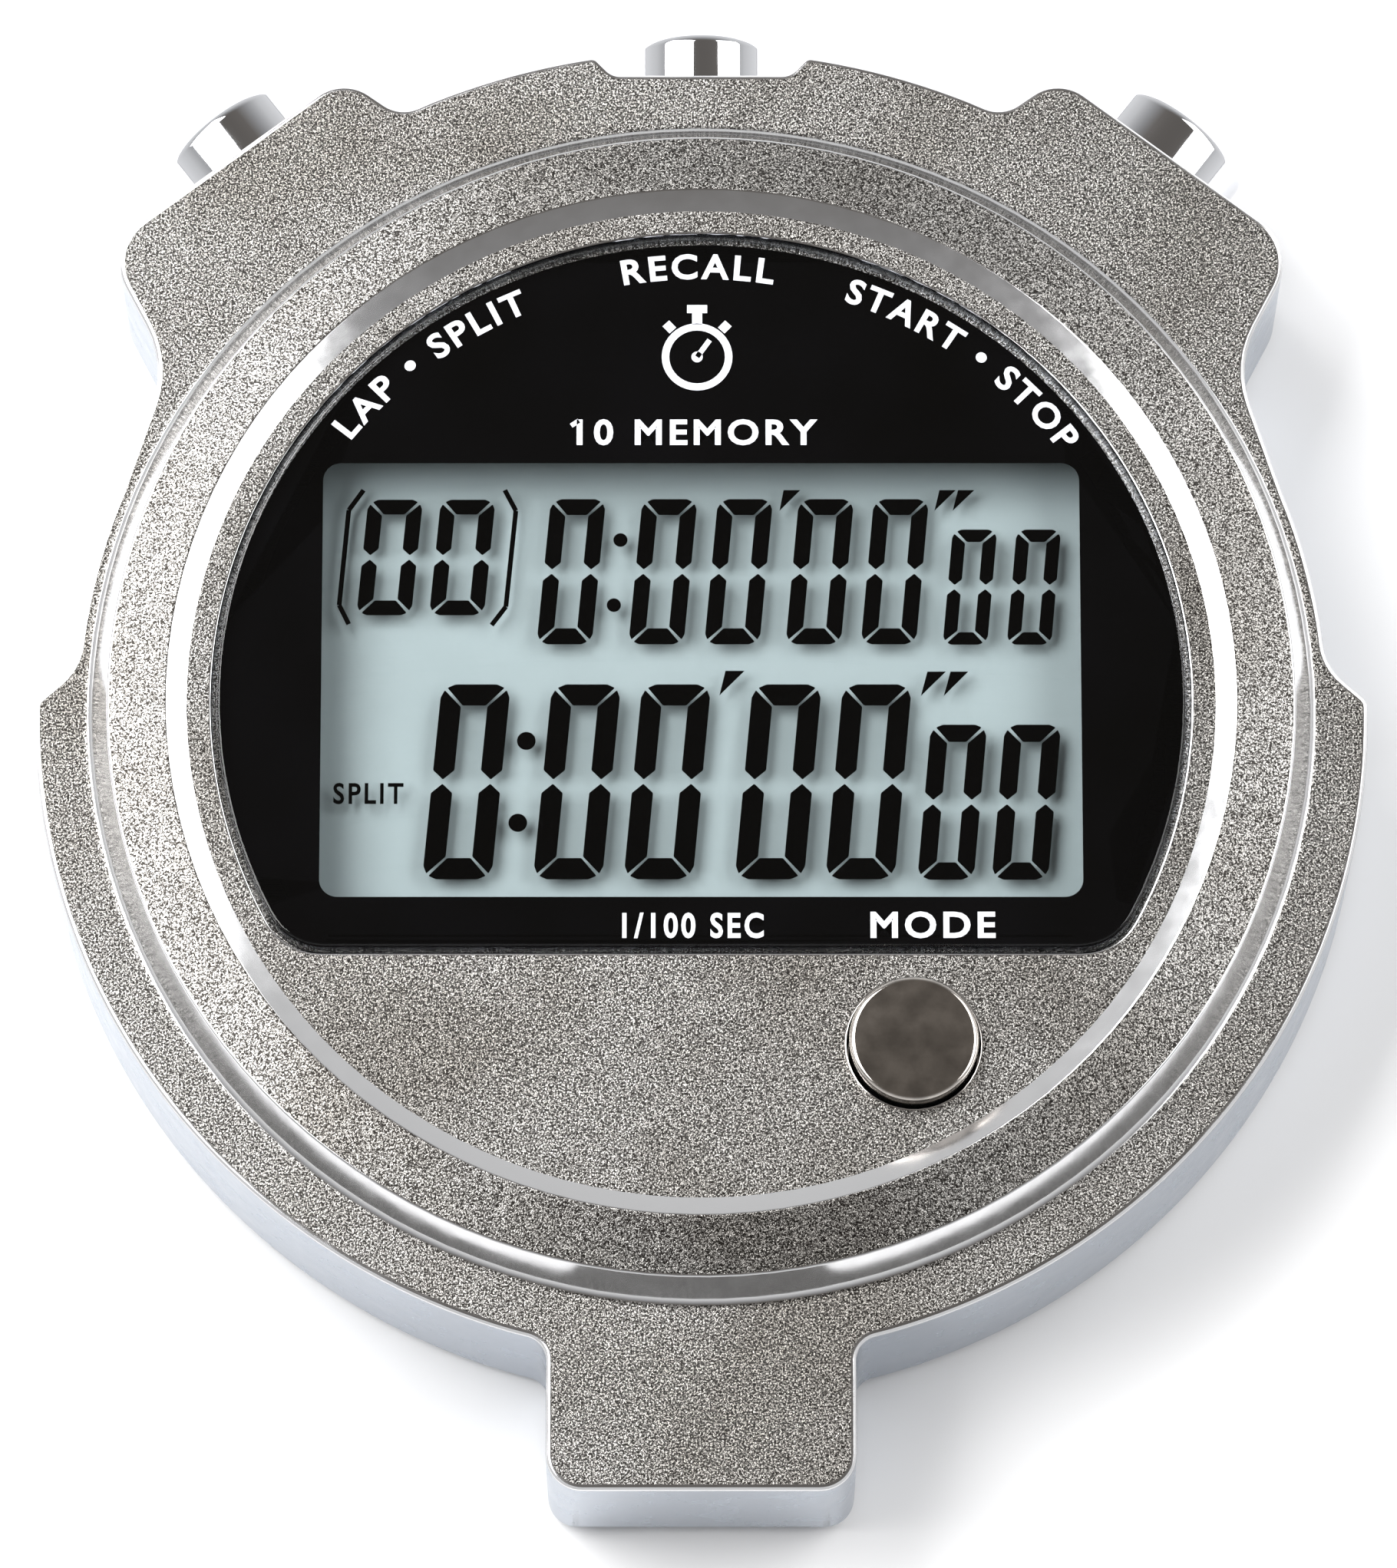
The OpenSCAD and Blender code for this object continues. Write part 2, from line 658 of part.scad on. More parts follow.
module circuit_board() {
  color(board_green) difference() {
    translate([0, 0, board_z]) cylinder(r = board_r, h = board_t);
    translate([0, 0, board_z - eps]) at_points(cover_screws_at)
      cylinder(r = cover_boss_r + 2 * loose, h = board_t + 2 * eps);
    translate([0, 0, board_z - eps]) at_points(board_screws_at)
      cylinder(r = board_screw_r + 0.1, h = board_t + 2 * eps);
    for (a = [-pusher_angle, 0, pusher_angle]) on_pusher(a)
      translate([-leaf_w / 2 - loose, -leaf_w, leaf_u - loose])
        cube([leaf_w + 2 * loose, 2 * leaf_w, cavity_r]);
  }
}

module board_screws() {
  color(spring_steel) at_points(board_screws_at) {
    difference() {
      translate([0, 0, board_z - board_screw_head_h])
        cylinder(r = board_screw_head_r, h = board_screw_head_h);
      screw_cross(board_z - board_screw_head_h, 0.9, 0.3, 0.35);
    }
    translate([0, 0, board_z]) cylinder(r = board_screw_r, h = board_screw_l);
  }
}

// Cross slot cut into a head whose face is at height z
module screw_cross(z, half, half_w, depth) {
  for (turn = [0, 90]) rotate([0, 0, turn])
    translate([-half, -half_w / 2, z - eps]) cube([2 * half, half_w, depth + eps]);
}

module chip_cover() {
  r = 3.2;
  h = 1;
  ball_r = (r * r + h * h) / (2 * h);
  color(rubber_black) translate([-chip_x, parts_y, board_z]) mirror([0, 0, 1]) intersection() {
    translate([0, 0, h - ball_r]) sphere(r = ball_r);
    cylinder(r = r + eps, h = h + eps);
  }
}

module crystal() {
  can_r = 1;
  can_l = 6;
  lead_r = 0.15;
  x = crystal_x;
  y = parts_y;
  color(spring_steel) {
    translate([x, y, board_z - can_r]) rotate([0, 90, 0]) cylinder(r = can_r, h = can_l);
    for (side = [-1, 1]) translate([x, y + side * 0.45, board_z - can_r]) {
      rotate([0, -90, 0]) cylinder(r = lead_r, h = 1.2);
      translate([-1.2, 0, 0]) cylinder(r = lead_r, h = can_r);
    }
  }
}

module chip_capacitors() {
  size = [1.6, 0.8, 0.8];
  color(ceramic_white) for (i = [0:3])
    translate([crystal_x + 1, parts_y - 2.5 - 1.5 * i, board_z - size[2]]) cube(size);
}

module coin_cell() {
  rim = 1.1;
  bottom = board_z - cell_room - cell_t;
  color(spring_steel) translate([0, cell_y, bottom]) rotate_extrude() polygon([[0, 0], [cell_r - 0.3, 0],
    [cell_r, 0.3], [cell_r, cell_t - 0.6], [cell_r - 0.3, cell_t - 0.3], [cell_r - rim, cell_t - 0.3],
    [cell_r - rim - 0.3, cell_t], [0, cell_t]]);
}

// A strap under the cell, with a leg at each side soldered to the board
module cell_clip() {
  half_w = 3;
  x = cell_r + loose;
  bottom = board_z - cell_room - cell_t - leaf_t;
  color(spring_steel) union() {
    translate([-x - leaf_t, cell_y - half_w, bottom]) cube([2 * (x + leaf_t), 2 * half_w, leaf_t]);
    for (side = [-1, 1]) translate([side * (x + leaf_t / 2) - leaf_t / 2, cell_y - half_w, bottom])
      cube([leaf_t, 2 * half_w, board_z - bottom]);
  }
}

module cell_contact() {
  color(brass_yellow) translate([0, cell_y, board_z]) mirror([0, 0, 1]) union() {
    cylinder(r = 4, h = leaf_t);
    cylinder(r = 1.5, h = cell_room);
  }
}

module cell_insulator() {
  color(display_grey) translate([0, cell_y, cover_t]) cylinder(r = insulator_r, h = sheet_t);
}

module buzzer_plate() {
  color(brass_yellow) translate([0, buzzer_y, cover_t]) cylinder(r = buzzer_r, h = buzzer_sheet_t);
}

module buzzer_ceramic() {
  color(ceramic_white) translate([0, buzzer_y, cover_t + buzzer_sheet_t])
    cylinder(r = ceramic_r, h = buzzer_sheet_t);
}

// One contact spring on the ceramic and one on the brass
module buzzer_springs() {
  r = 0.9;
  for (s = [[ceramic_r - 3, 2], [buzzer_r - 1.3, 1]]) let (z = cover_t + s[1] * buzzer_sheet_t)
    color(spring_steel) translate([s[0], buzzer_y, z]) coil(r, board_z - z, 0.15, 5);
}

// ---- Back ----

module cover_gasket() {
  color(rubber_black) translate([0, 0, cover_t])
    tube(cavity_r + boss_bite + seat_gap + gasket_w, cavity_r + boss_bite + seat_gap, gasket_t);
}

module back_cover() {
  color(bright_chrome) difference() {
    cylinder(r = cover_r, h = cover_t);
    translate([0, 0, -eps]) at_points(cover_screws_at)
      cylinder(r = cover_screw_r + 0.1, h = cover_t + 2 * eps);
    at_points(cover_screws_at) translate([0, 0, -0.001])
      cylinder(r1 = screw_head_r + thread_gap, r2 = cover_screw_r + thread_gap,
        h = screw_head_r - cover_screw_r);
  }
}

// Countersunk, flush with the cover
module cover_screws() {
  head_h = screw_head_r - cover_screw_r;
  color(spring_steel) at_points(cover_screws_at) difference() {
    union() {
      cylinder(r1 = screw_head_r, r2 = cover_screw_r, h = head_h);
      cylinder(r = cover_screw_r, h = cover_screw_l);
    }
    screw_cross(0, 1, 0.4, 0.5);
  }
}

front_case();
lens();
lens_mask();
lens_adhesive();
mode_button();
mode_seal();
mode_spring();
mode_contact();
lap_pusher();
lap_bush();
lap_o_ring();
lap_spring();
lap_retaining_clip();
lap_switch_leaf();
recall_pusher();
recall_bush();
recall_o_ring();
recall_spring();
recall_retaining_clip();
recall_switch_leaf();
start_pusher();
start_bush();
start_o_ring();
start_spring();
start_retaining_clip();
start_switch_leaf();
display_front_polariser();
display_front_glass();
display_rear_glass();
display_reflector();
display_frame();
upper_zebra_strip();
lower_zebra_strip();
circuit_board();
board_screws();
chip_cover();
crystal();
chip_capacitors();
coin_cell();
cell_clip();
cell_contact();
cell_insulator();
buzzer_plate();
buzzer_ceramic();
buzzer_springs();
lanyard_bar();
cover_gasket();
back_cover();
cover_screws();
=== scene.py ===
"""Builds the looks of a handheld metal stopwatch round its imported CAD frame.

The case, caps, button, springs, window, printing and display figures are made here.
The other CAD nodes keep their shape and get procedural finishes. Lengths are metres.
"""

import json
import math

import bmesh
import bpy
from mathutils import Matrix, Vector


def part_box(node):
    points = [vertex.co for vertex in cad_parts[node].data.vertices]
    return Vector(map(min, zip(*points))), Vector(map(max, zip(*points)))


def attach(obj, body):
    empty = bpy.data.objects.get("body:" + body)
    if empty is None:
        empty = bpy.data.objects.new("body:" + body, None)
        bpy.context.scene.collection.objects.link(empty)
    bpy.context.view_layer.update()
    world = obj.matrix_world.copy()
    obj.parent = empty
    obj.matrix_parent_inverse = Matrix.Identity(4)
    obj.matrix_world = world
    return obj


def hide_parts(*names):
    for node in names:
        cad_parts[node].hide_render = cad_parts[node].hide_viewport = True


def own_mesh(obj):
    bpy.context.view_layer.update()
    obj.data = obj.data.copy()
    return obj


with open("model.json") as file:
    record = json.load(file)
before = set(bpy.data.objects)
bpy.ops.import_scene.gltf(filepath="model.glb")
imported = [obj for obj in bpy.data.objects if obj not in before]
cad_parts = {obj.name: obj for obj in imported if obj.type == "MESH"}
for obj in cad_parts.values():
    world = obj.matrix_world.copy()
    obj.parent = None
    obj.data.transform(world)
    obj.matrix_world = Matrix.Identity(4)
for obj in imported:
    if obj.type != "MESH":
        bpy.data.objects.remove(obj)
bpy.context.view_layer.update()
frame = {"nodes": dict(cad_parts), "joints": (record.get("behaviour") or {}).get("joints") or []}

bl_info = {
    "name": "Metal stopwatch",
    "version": (1, 0, 0),
    "blender": (4, 5, 0),
    "location": "View3D > Sidebar > Stopwatch",
    "description": "Finishes a handheld metal stopwatch round its CAD frame",
    "category": "Add Mesh",
}

MM = 0.001
UP = Vector((0, 0, 1))
CLEAR_LAYERS = 24    # clear surfaces that light passes on its way to the display's back

# Heights and radii of the case's steps, as in the CAD
FLANGE_Z = 9.9 * MM
DIAL_Z = 11.6 * MM
BACK_Z = 0.4 * MM
RING_BASE_R = 30.0 * MM
DIAL_R = 25.2 * MM
WALL_R = 32.0 * MM    # the side wall lies outside this
HEEL_R = 1.3 * MM    # round of the tab's end, at the back
TAB_HALF = 7.5 * MM
TAB_TOP_Y = -34.0 * MM    # the tab lies below this
WINDOW_MIDDLE_Y = 1.275 * MM
NEAR = 0.02 * MM    # how close a point is to a height or radius to count as on it

# What the case's faces are, in the order of its materials
PEARL, CHAMFER, WALL = range(3)
PEARL_RISE = 0.975    # a face whose normal rises more than this is a pearl flat
WALL_RISE = 0.05    # and one whose normal rises less than this is a wall
RIM_DEPTH = 0.3 * MM    # how far the rim's polished bevel goes down from the flange

# The pushers' recesses in the side wall lie between these heights
RECESS_LOW_Z = 0.9 * MM
RECESS_HIGH_Z = FLANGE_Z - 0.6 * MM

# The pushers' turned shape, as in the CAD
STEM_R = 1.5 * MM
STEM_CHAMFER = 0.2 * MM
CAP_WALL = 0.9 * MM
CAP_ROOF = 1.5 * MM
CAP_SKIRT = 4.3 * MM
CAP_FOOT_ROUND = 0.15 * MM
CLIP_GROOVE = 0.4 * MM
RING_GROOVE = 0.55 * MM
GROOVE_EASE = 0.02 * MM    # room on each side of what sits in a groove

# The face button's turned shape, as in the CAD
KEY_STEM_R = 1.0 * MM
KEY_LIP = 0.75 * MM    # how far the lip stands out
KEY_LIP_T = 0.5 * MM

# Soft edges of the parts on the back
PLATE_BEVEL = 0.15 * MM
SCREW_BEVEL = 0.06 * MM
BAR_BEVEL = 0.15 * MM

# Wound springs: radius of the coil, radius of the wire, turns
PUSHER_SPRING = (2.25 * MM, 0.2 * MM, 5)
BUTTON_SPRING = (2.55 * MM, 0.15 * MM, 4)


# ---- Settings a user would change ----


def length(name, description, default):
    return bpy.props.FloatProperty(
        name=name,
        description=description,
        default=default,
        unit="LENGTH",
        subtype="DISTANCE",
        precision=5,
    )


def colour(name, description, default):
    return bpy.props.FloatVectorProperty(
        name=name, description=description, default=default, size=3, subtype="COLOR", min=0, max=1
    )


def angle(name, description, degrees):
    default = math.radians(degrees)
    return bpy.props.FloatProperty(
        name=name, description=description, default=default, unit="ROTATION", subtype="ANGLE"
    )


class StopwatchCaseSettings(bpy.types.PropertyGroup):
    rim_bevel: length("Rim bevel", "Width of the polished bevel round the front rim", 0.28 * MM)
    foot_bevel: length("Back bevel", "Width of the soft edge round the back", 0.45 * MM)
    ring_bevel: length("Ring bevel", "Width of the soft edges of the raised ring", 0.09 * MM)
    ring_fillet: length("Ring fillet", "Width of the fillet at the raised ring's foot", 0.35 * MM)
    hole_bevel: length("Hole bevel", "Width of the soft edges of the holes", 0.12 * MM)
    grain_size: length("Grain size", "Size of the pearl finish's grains", 0.09 * MM)
    grain_depth: length("Grain depth", "Height of the pearl finish's grains", 0.018 * MM)
    # Painted highlight and painted shade: the pearl finish is coloured lighter on the grains' tops
    # and darker between them, following their bump.
    painted_grain_highlight: colour("Light grain", "Chrome on top of the grains", (0.53, 0.518, 0.50))
    painted_grain_shade: colour("Dark grain", "Chrome between the grains", (0.032, 0.029, 0.026))
    stain: colour("Stain", "Warm cast of the worn patches", (0.46, 0.42, 0.37))
    chamfer_chrome: colour("Chamfer chrome", "Chrome of the ring's chamfers", (0.74, 0.74, 0.75))
    wall_chrome: colour("Wall chrome", "Smooth chrome of the side walls", (0.43, 0.47, 0.53))


class StopwatchFaceSettings(bpy.types.PropertyGroup):
    lens_bevel: length("Lens bevel", "Width of the bevel round the lens", 0.22 * MM)
    print_colour: colour("Printing", "Colour of the printed words", (0.80, 0.82, 0.88))
    film_tint: colour("Film tint", "What the polarising film lets through", (0.94, 0.96, 0.96))
    display_grey: colour("Display", "Colour of the display's back", (0.43, 0.493, 0.512))
    ink: colour("Figures", "Colour of the display's lit segments", (0.001, 0.001, 0.001))
    slant: angle("Slant", "Lean of the display's figures", 5.2)


class StopwatchButtonSettings(bpy.types.PropertyGroup):
    cap_round: length("Cap edge", "Radius of the round along a pusher cap's edge", 0.6 * MM)
    button_round: length("Button edge", "Radius of the round on the face button", 0.3 * MM)
    mirror_chrome: colour("Mirror chrome", "Colour of the polished caps", (0.78, 0.79, 0.82))
    button_chrome: colour("Button chrome", "Colour of the face button", (0.78, 0.73, 0.68))


class StopwatchStageSettings(bpy.types.PropertyGroup):
    distance: length("Camera distance", "How far the camera stands from what it looks at", 0.52)
    tilt: angle("Camera tilt", "Lean of the camera from straight above", 16.2)
    focal_length: bpy.props.FloatProperty(
        name="Focal length", description="The camera's lens in millimetres", default=243.6
    )
    floor_colour: colour("Floor", "Colour of the floor", (0.88, 0.88, 0.885))
    left_power: bpy.props.FloatProperty(
        name="Left softbox", description="Power of the left softbox in watts", default=3.0
    )
    right_power: bpy.props.FloatProperty(
        name="Right softbox", description="Power of the right softbox in watts", default=1.25
    )


SETTINGS = {
    "stopwatch_case": StopwatchCaseSettings,
    "stopwatch_face": StopwatchFaceSettings,
    "stopwatch_buttons": StopwatchButtonSettings,
    "stopwatch_stage": StopwatchStageSettings,
}


def settings(part):
    return getattr(bpy.context.scene, "stopwatch_" + part)


# ---- Mesh helpers ----


def polar(radius, degrees, z=0.0):
    """A point at a radius and a clockwise angle from the top of the dial."""
    a = math.radians(degrees)
    return Vector((radius * math.sin(a), radius * math.cos(a), z))


def flat_radius(co):
    return math.hypot(co.x, co.y)


def is_near(value, wanted):
    return abs(value - wanted) < NEAR


def copy_of(node):
    """A CAD node's mesh with its loose triangles joined into clean faces."""
    bm = bmesh.new()
    bm.from_mesh(frame["nodes"][node].data)
    bmesh.ops.remove_doubles(bm, verts=bm.verts, dist=1e-6)
    bmesh.ops.dissolve_limit(bm, angle_limit=math.radians(0.4), verts=bm.verts, edges=bm.edges)
    return bm


def sharp_edges(bm, wanted, least=35, hollow=False):
    """Convex or hollow edges sharper than least degrees whose two ends are wanted."""
    limit = math.radians(least)
    return [
        e
        for e in bm.edges
        if len(e.link_faces) == 2
        and e.is_convex != hollow
        and e.calc_face_angle(0) > limit
        and all(wanted(v.co) for v in e.verts)
    ]


def soften(bm, edges, width, segments=3):
    bmesh.ops.bevel(
        bm,
        geom=edges,
        offset=width,
        offset_type="OFFSET",
        segments=segments,
        profile=0.5,
        affect="EDGES",
        material=-1,
        loop_slide=False,
    )


def shade(bm, sharp):
    """Smooth faces, with edges sharper than the given degrees kept sharp."""
    for face in bm.faces:
        face.smooth = True
    for edge in bm.edges:
        edge.smooth = edge.calc_face_angle(math.pi) < math.radians(sharp)


def finish_piece(name, bm, finishes, body, replaced=(), sharp=32):
    """Turns a bmesh into a piece at the origin that rides on a body."""
    shade(bm, sharp)
    mesh = bpy.data.meshes.new(name)
    bm.to_mesh(mesh)
    bm.free()
    for material in finishes:
        mesh.materials.append(material)
    piece = bpy.data.objects.new(name, mesh)
    bpy.context.scene.collection.objects.link(piece)
    weighted = piece.modifiers.new("even_shading", "WEIGHTED_NORMAL")
    weighted.keep_sharp = True
    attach(piece, body)
    if replaced:
        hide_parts(*replaced)
    return piece


def turned(bm, outline, rounds, steps=96):
    """Turns an outline of (radius, height) points about Z, with some corners rounded first."""
    verts = [bm.verts.new((r, 0, z)) for r, z in outline]
    for pair in zip(verts, verts[1:]):
        bm.edges.new(pair)
    for index, radius in rounds.items():
        bmesh.ops.bevel(
            bm,
            geom=[verts[index]],
            offset=radius,
            segments=6,
            profile=0.5,
            affect="VERTICES",
            material=-1,
        )
    bmesh.ops.spin(
        bm,
        geom=list(bm.verts) + list(bm.edges),
        cent=(0, 0, 0),
        axis=(0, 0, 1),
        angle=math.tau,
        steps=steps,
        use_merge=True,
    )
    bmesh.ops.remove_doubles(bm, verts=bm.verts, dist=1e-7)
    bmesh.ops.recalc_face_normals(bm, faces=bm.faces)


# ---- Material helpers ----


def shader(tree, kind, inputs=None, **options):
    """Adds a node. An input given as a socket is linked, any other is set."""
    made = tree.nodes.new(kind)
    for key, value in options.items():
        setattr(made, key, value)
    for key, value in (inputs or {}).items():
        if isinstance(value, bpy.types.NodeSocket):
            tree.links.new(value, made.inputs[key])
        else:
            made.inputs[key].default_value = value
    return made


def rgba(values):
    return (*values, 1.0)


def new_material(name):
    material = bpy.data.materials.new(name)
    material.use_nodes = True
    material.node_tree.nodes.clear()
    return material, material.node_tree


def output(tree, surface):
    shader(tree, "ShaderNodeOutputMaterial", {"Surface": surface})


def object_place(tree, scale=(1, 1, 1)):
    place = shader(tree, "ShaderNodeTexCoord").outputs["Object"]
    return shader(tree, "ShaderNodeMapping", {"Vector": place, "Scale": scale}).outputs["Vector"]


def noise(tree, place, scale, detail=2.0, distortion=0.0):
    return shader(
        tree,
        "ShaderNodeTexNoise",
        {"Vector": place, "Scale": scale, "Detail": detail, "Distortion": distortion},
    ).outputs["Fac"]


def ramp(tree, factor, stops):
    made = shader(tree, "ShaderNodeValToRGB", {"Fac": factor})
    elements = made.color_ramp.elements
    while len(elements) < len(stops):
        elements.new(0.5)
    for element, (position, value) in zip(elements, stops):
        element.position = position
        element.color = rgba(value)
    return made.outputs["Color"]


def grey(value):
    return (value, value, value)


def spread(tree, factor, low, high):
    """Maps a factor onto the range from low to high."""
    return shader(
        tree,
        "ShaderNodeMapRange",
        {"Value": factor, "From Min": 0.3, "From Max": 0.7, "To Min": low, "To Max": high},
    ).outputs["Result"]


def mix(tree, factor, a, b, blend="MIX"):
    made = shader(tree, "ShaderNodeMix", data_type="RGBA", blend_type=blend)
    for socket, value in zip((made.inputs[0], made.inputs[6], made.inputs[7]), (factor, a, b)):
        if isinstance(value, bpy.types.NodeSocket):
            tree.links.new(value, socket)
        else:
            socket.default_value = value if isinstance(value, float) else rgba(value)
    return made.outputs[2]


def bump(tree, height, depth):
    inputs = {"Height": height, "Distance": depth, "Strength": 1.0}
    return shader(tree, "ShaderNodeBump", inputs).outputs["Normal"]


def principled(tree, **inputs):
    names = {key.replace("_", " "): value for key, value in inputs.items()}
    return shader(tree, "ShaderNodeBsdfPrincipled", names).outputs["BSDF"]


def pearl_chrome():
    """Pearl chrome: fine worm-like grains whose bump sparkles, with painted highlights on their tops
    and painted shade between them, and a few warm worn patches.
    """
    case = settings("case")
    material, tree = new_material("pearl_chrome")
    place = object_place(tree)
    scale = 1 / case.grain_size
    worms = noise(tree, place, scale, detail=1.5, distortion=0.6)
    specks = noise(tree, place, scale * 2.1, detail=1.0)
    patches = noise(tree, place, 90, detail=3.0)
    # Painted highlight on the grains' tops and painted shade between them, from the same noise as
    # their bump.
    grain = ramp(tree, worms, [(0.43, case.painted_grain_shade), (0.62, case.painted_grain_highlight)])
    worn = ramp(tree, patches, [(0.44, grey(0)), (0.68, grey(1))])
    stained = mix(tree, worn, grain, case.stain, "MULTIPLY")
    base = mix(tree, 0.45, grain, stained)
    height = shader(tree, "ShaderNodeMath", {0: worms, 1: specks}, operation="ADD").outputs[0]
    output(
        tree,
        principled(
            tree,
            Base_Color=base,
            Metallic=1.0,
            Roughness=spread(tree, specks, 0.18, 0.29),
            Normal=bump(tree, height, case.grain_depth),
        ),
    )
    return material


def plated(name, base, roughness, ripple, ripple_scale=300.0, mottle=0.0):
    """Plated or polished metal with faint haze and waves as deep as ripple."""
    material, tree = new_material(name)
    place = object_place(tree)
    haze = noise(tree, place, 700, detail=4.0)
    waves = noise(tree, place, ripple_scale)
    darker = tuple(c * (1 - mottle) for c in base)
    output(
        tree,
        principled(
            tree,
            Base_Color=ramp(tree, haze, [(0.35, darker), (0.65, base)]),
            Metallic=1.0,
            Roughness=spread(tree, haze, roughness * 0.8, roughness * 1.25),
            Normal=bump(tree, waves, ripple),
        ),
    )
    return material


def brushed(name, base, roughness, depth, along=(1, 1, 1), turned_finish=False):
    """Metal with fine lines: straight ones along an axis, or circles about the dial's axis."""
    material, tree = new_material(name)
    place = object_place(tree, along)
    if turned_finish:
        parts = shader(tree, "ShaderNodeSeparateXYZ", {"Vector": place}).outputs
        flat = shader(tree, "ShaderNodeCombineXYZ", {"X": parts["X"], "Y": parts["Y"]}).outputs[0]
        radius = shader(tree, "ShaderNodeVectorMath", {0: flat}, operation="LENGTH").outputs["Value"]
        place = shader(tree, "ShaderNodeCombineXYZ", {"X": radius}).outputs[0]
    lines = noise(tree, place, 9000, detail=3.0)
    broad = noise(tree, object_place(tree), 150)
    dark = tuple(c * 0.8 for c in base)
    output(
        tree,
        principled(
            tree,
            Base_Color=mix(tree, broad, ramp(tree, lines, [(0.3, dark), (0.7, base)]), base),
            Metallic=1.0,
            Roughness=spread(tree, lines, roughness * 0.8, roughness * 1.3),
            Normal=bump(tree, lines, depth),
        ),
    )
    return material


def moulded(
    name, base, roughness, grain=2500.0, depth=0.004 * MM, variation=0.25, specular=0.5
):
    """Plastic, rubber, resin, ceramic or ink with a fine skin."""
    material, tree = new_material(name)
    place = object_place(tree)
    skin = noise(tree, place, grain, detail=3.0)
    cloud = noise(tree, place, 220)
    dark = tuple(c * (1 - variation) for c in base)
    output(
        tree,
        principled(
            tree,
            Base_Color=ramp(tree, cloud, [(0.35, dark), (0.65, base)]),
            Roughness=spread(tree, skin, roughness * 0.85, min(1.0, roughness * 1.15)),
            Specular_IOR_Level=specular,
            Normal=bump(tree, skin, depth),
        ),
    )
    return material


def window_black():
    """Black print seen through the lens."""
    material, tree = new_material("window_black")
    cloud = noise(tree, object_place(tree), 120)
    output(
        tree,
        principled(
            tree,
            Base_Color=ramp(tree, cloud, [(0.3, grey(0.001)), (0.7, (0.002, 0.002, 0.0024))]),
            Roughness=spread(tree, cloud, 0.25, 0.35),
            Specular_IOR_Level=0.0,
        ),
    )
    return material


def see_through(tree, tint):
    return shader(tree, "ShaderNodeBsdfTransparent", {"Color": rgba(tint)}).outputs[0]


def clear(name, tint):
    """Thin clear sheet inside the stopwatch: lets light straight through."""
    material, tree = new_material(name)
    output(tree, see_through(tree, tint))
    return material


def window_acrylic():
    """Clear lens that lets light straight through and shines by its angle, from outside only."""
    material, tree = new_material("window_acrylic")
    smear = noise(tree, object_place(tree), 160)
    shine = shader(
        tree,
        "ShaderNodeBsdfGlossy",
        {"Color": rgba(grey(1.0)), "Roughness": spread(tree, smear, 0.02, 0.04)},
    ).outputs[0]
    gloss = shader(tree, "ShaderNodeFresnel", {"IOR": 1.42}).outputs[0]
    inside = shader(tree, "ShaderNodeNewGeometry").outputs["Backfacing"]
    outside = shader(tree, "ShaderNodeMath", {0: 1.0, 1: inside}, operation="SUBTRACT").outputs[0]
    share = shader(tree, "ShaderNodeMath", {0: gloss, 1: outside}, operation="MULTIPLY").outputs[0]
    layers = {0: share, 1: see_through(tree, grey(0.99)), 2: shine}
    output(tree, shader(tree, "ShaderNodeMixShader", layers).outputs[0])
    return material


def laminate():
    """Green solder mask with faint copper tracks below it."""
    material, tree = new_material("board_laminate")
    place = object_place(tree)
    tracks = shader(
        tree,
        "ShaderNodeTexBrick",
        {
            "Vector": place,
            "Color1": rgba((0.05, 0.19, 0.09)),
            "Color2": rgba((0.045, 0.17, 0.08)),
            "Mortar": rgba((0.09, 0.30, 0.13)),
            "Scale": 260.0,
            "Mortar Size": 0.03,
            "Mortar Smooth": 0.2,
        },
    )
    cloud = noise(tree, place, 200)
    output(
        tree,
        principled(
            tree,
            Base_Color=tracks.outputs["Color"],
            Roughness=spread(tree, cloud, 0.28, 0.42),
            Normal=bump(tree, tracks.outputs["Fac"], 0.03 * MM),
        ),
    )
    return material


FINISH_MAKERS = {
    "pearl_chrome": pearl_chrome,
    "window_acrylic": window_acrylic,
    "window_black": window_black,
    "board_laminate": laminate,
}
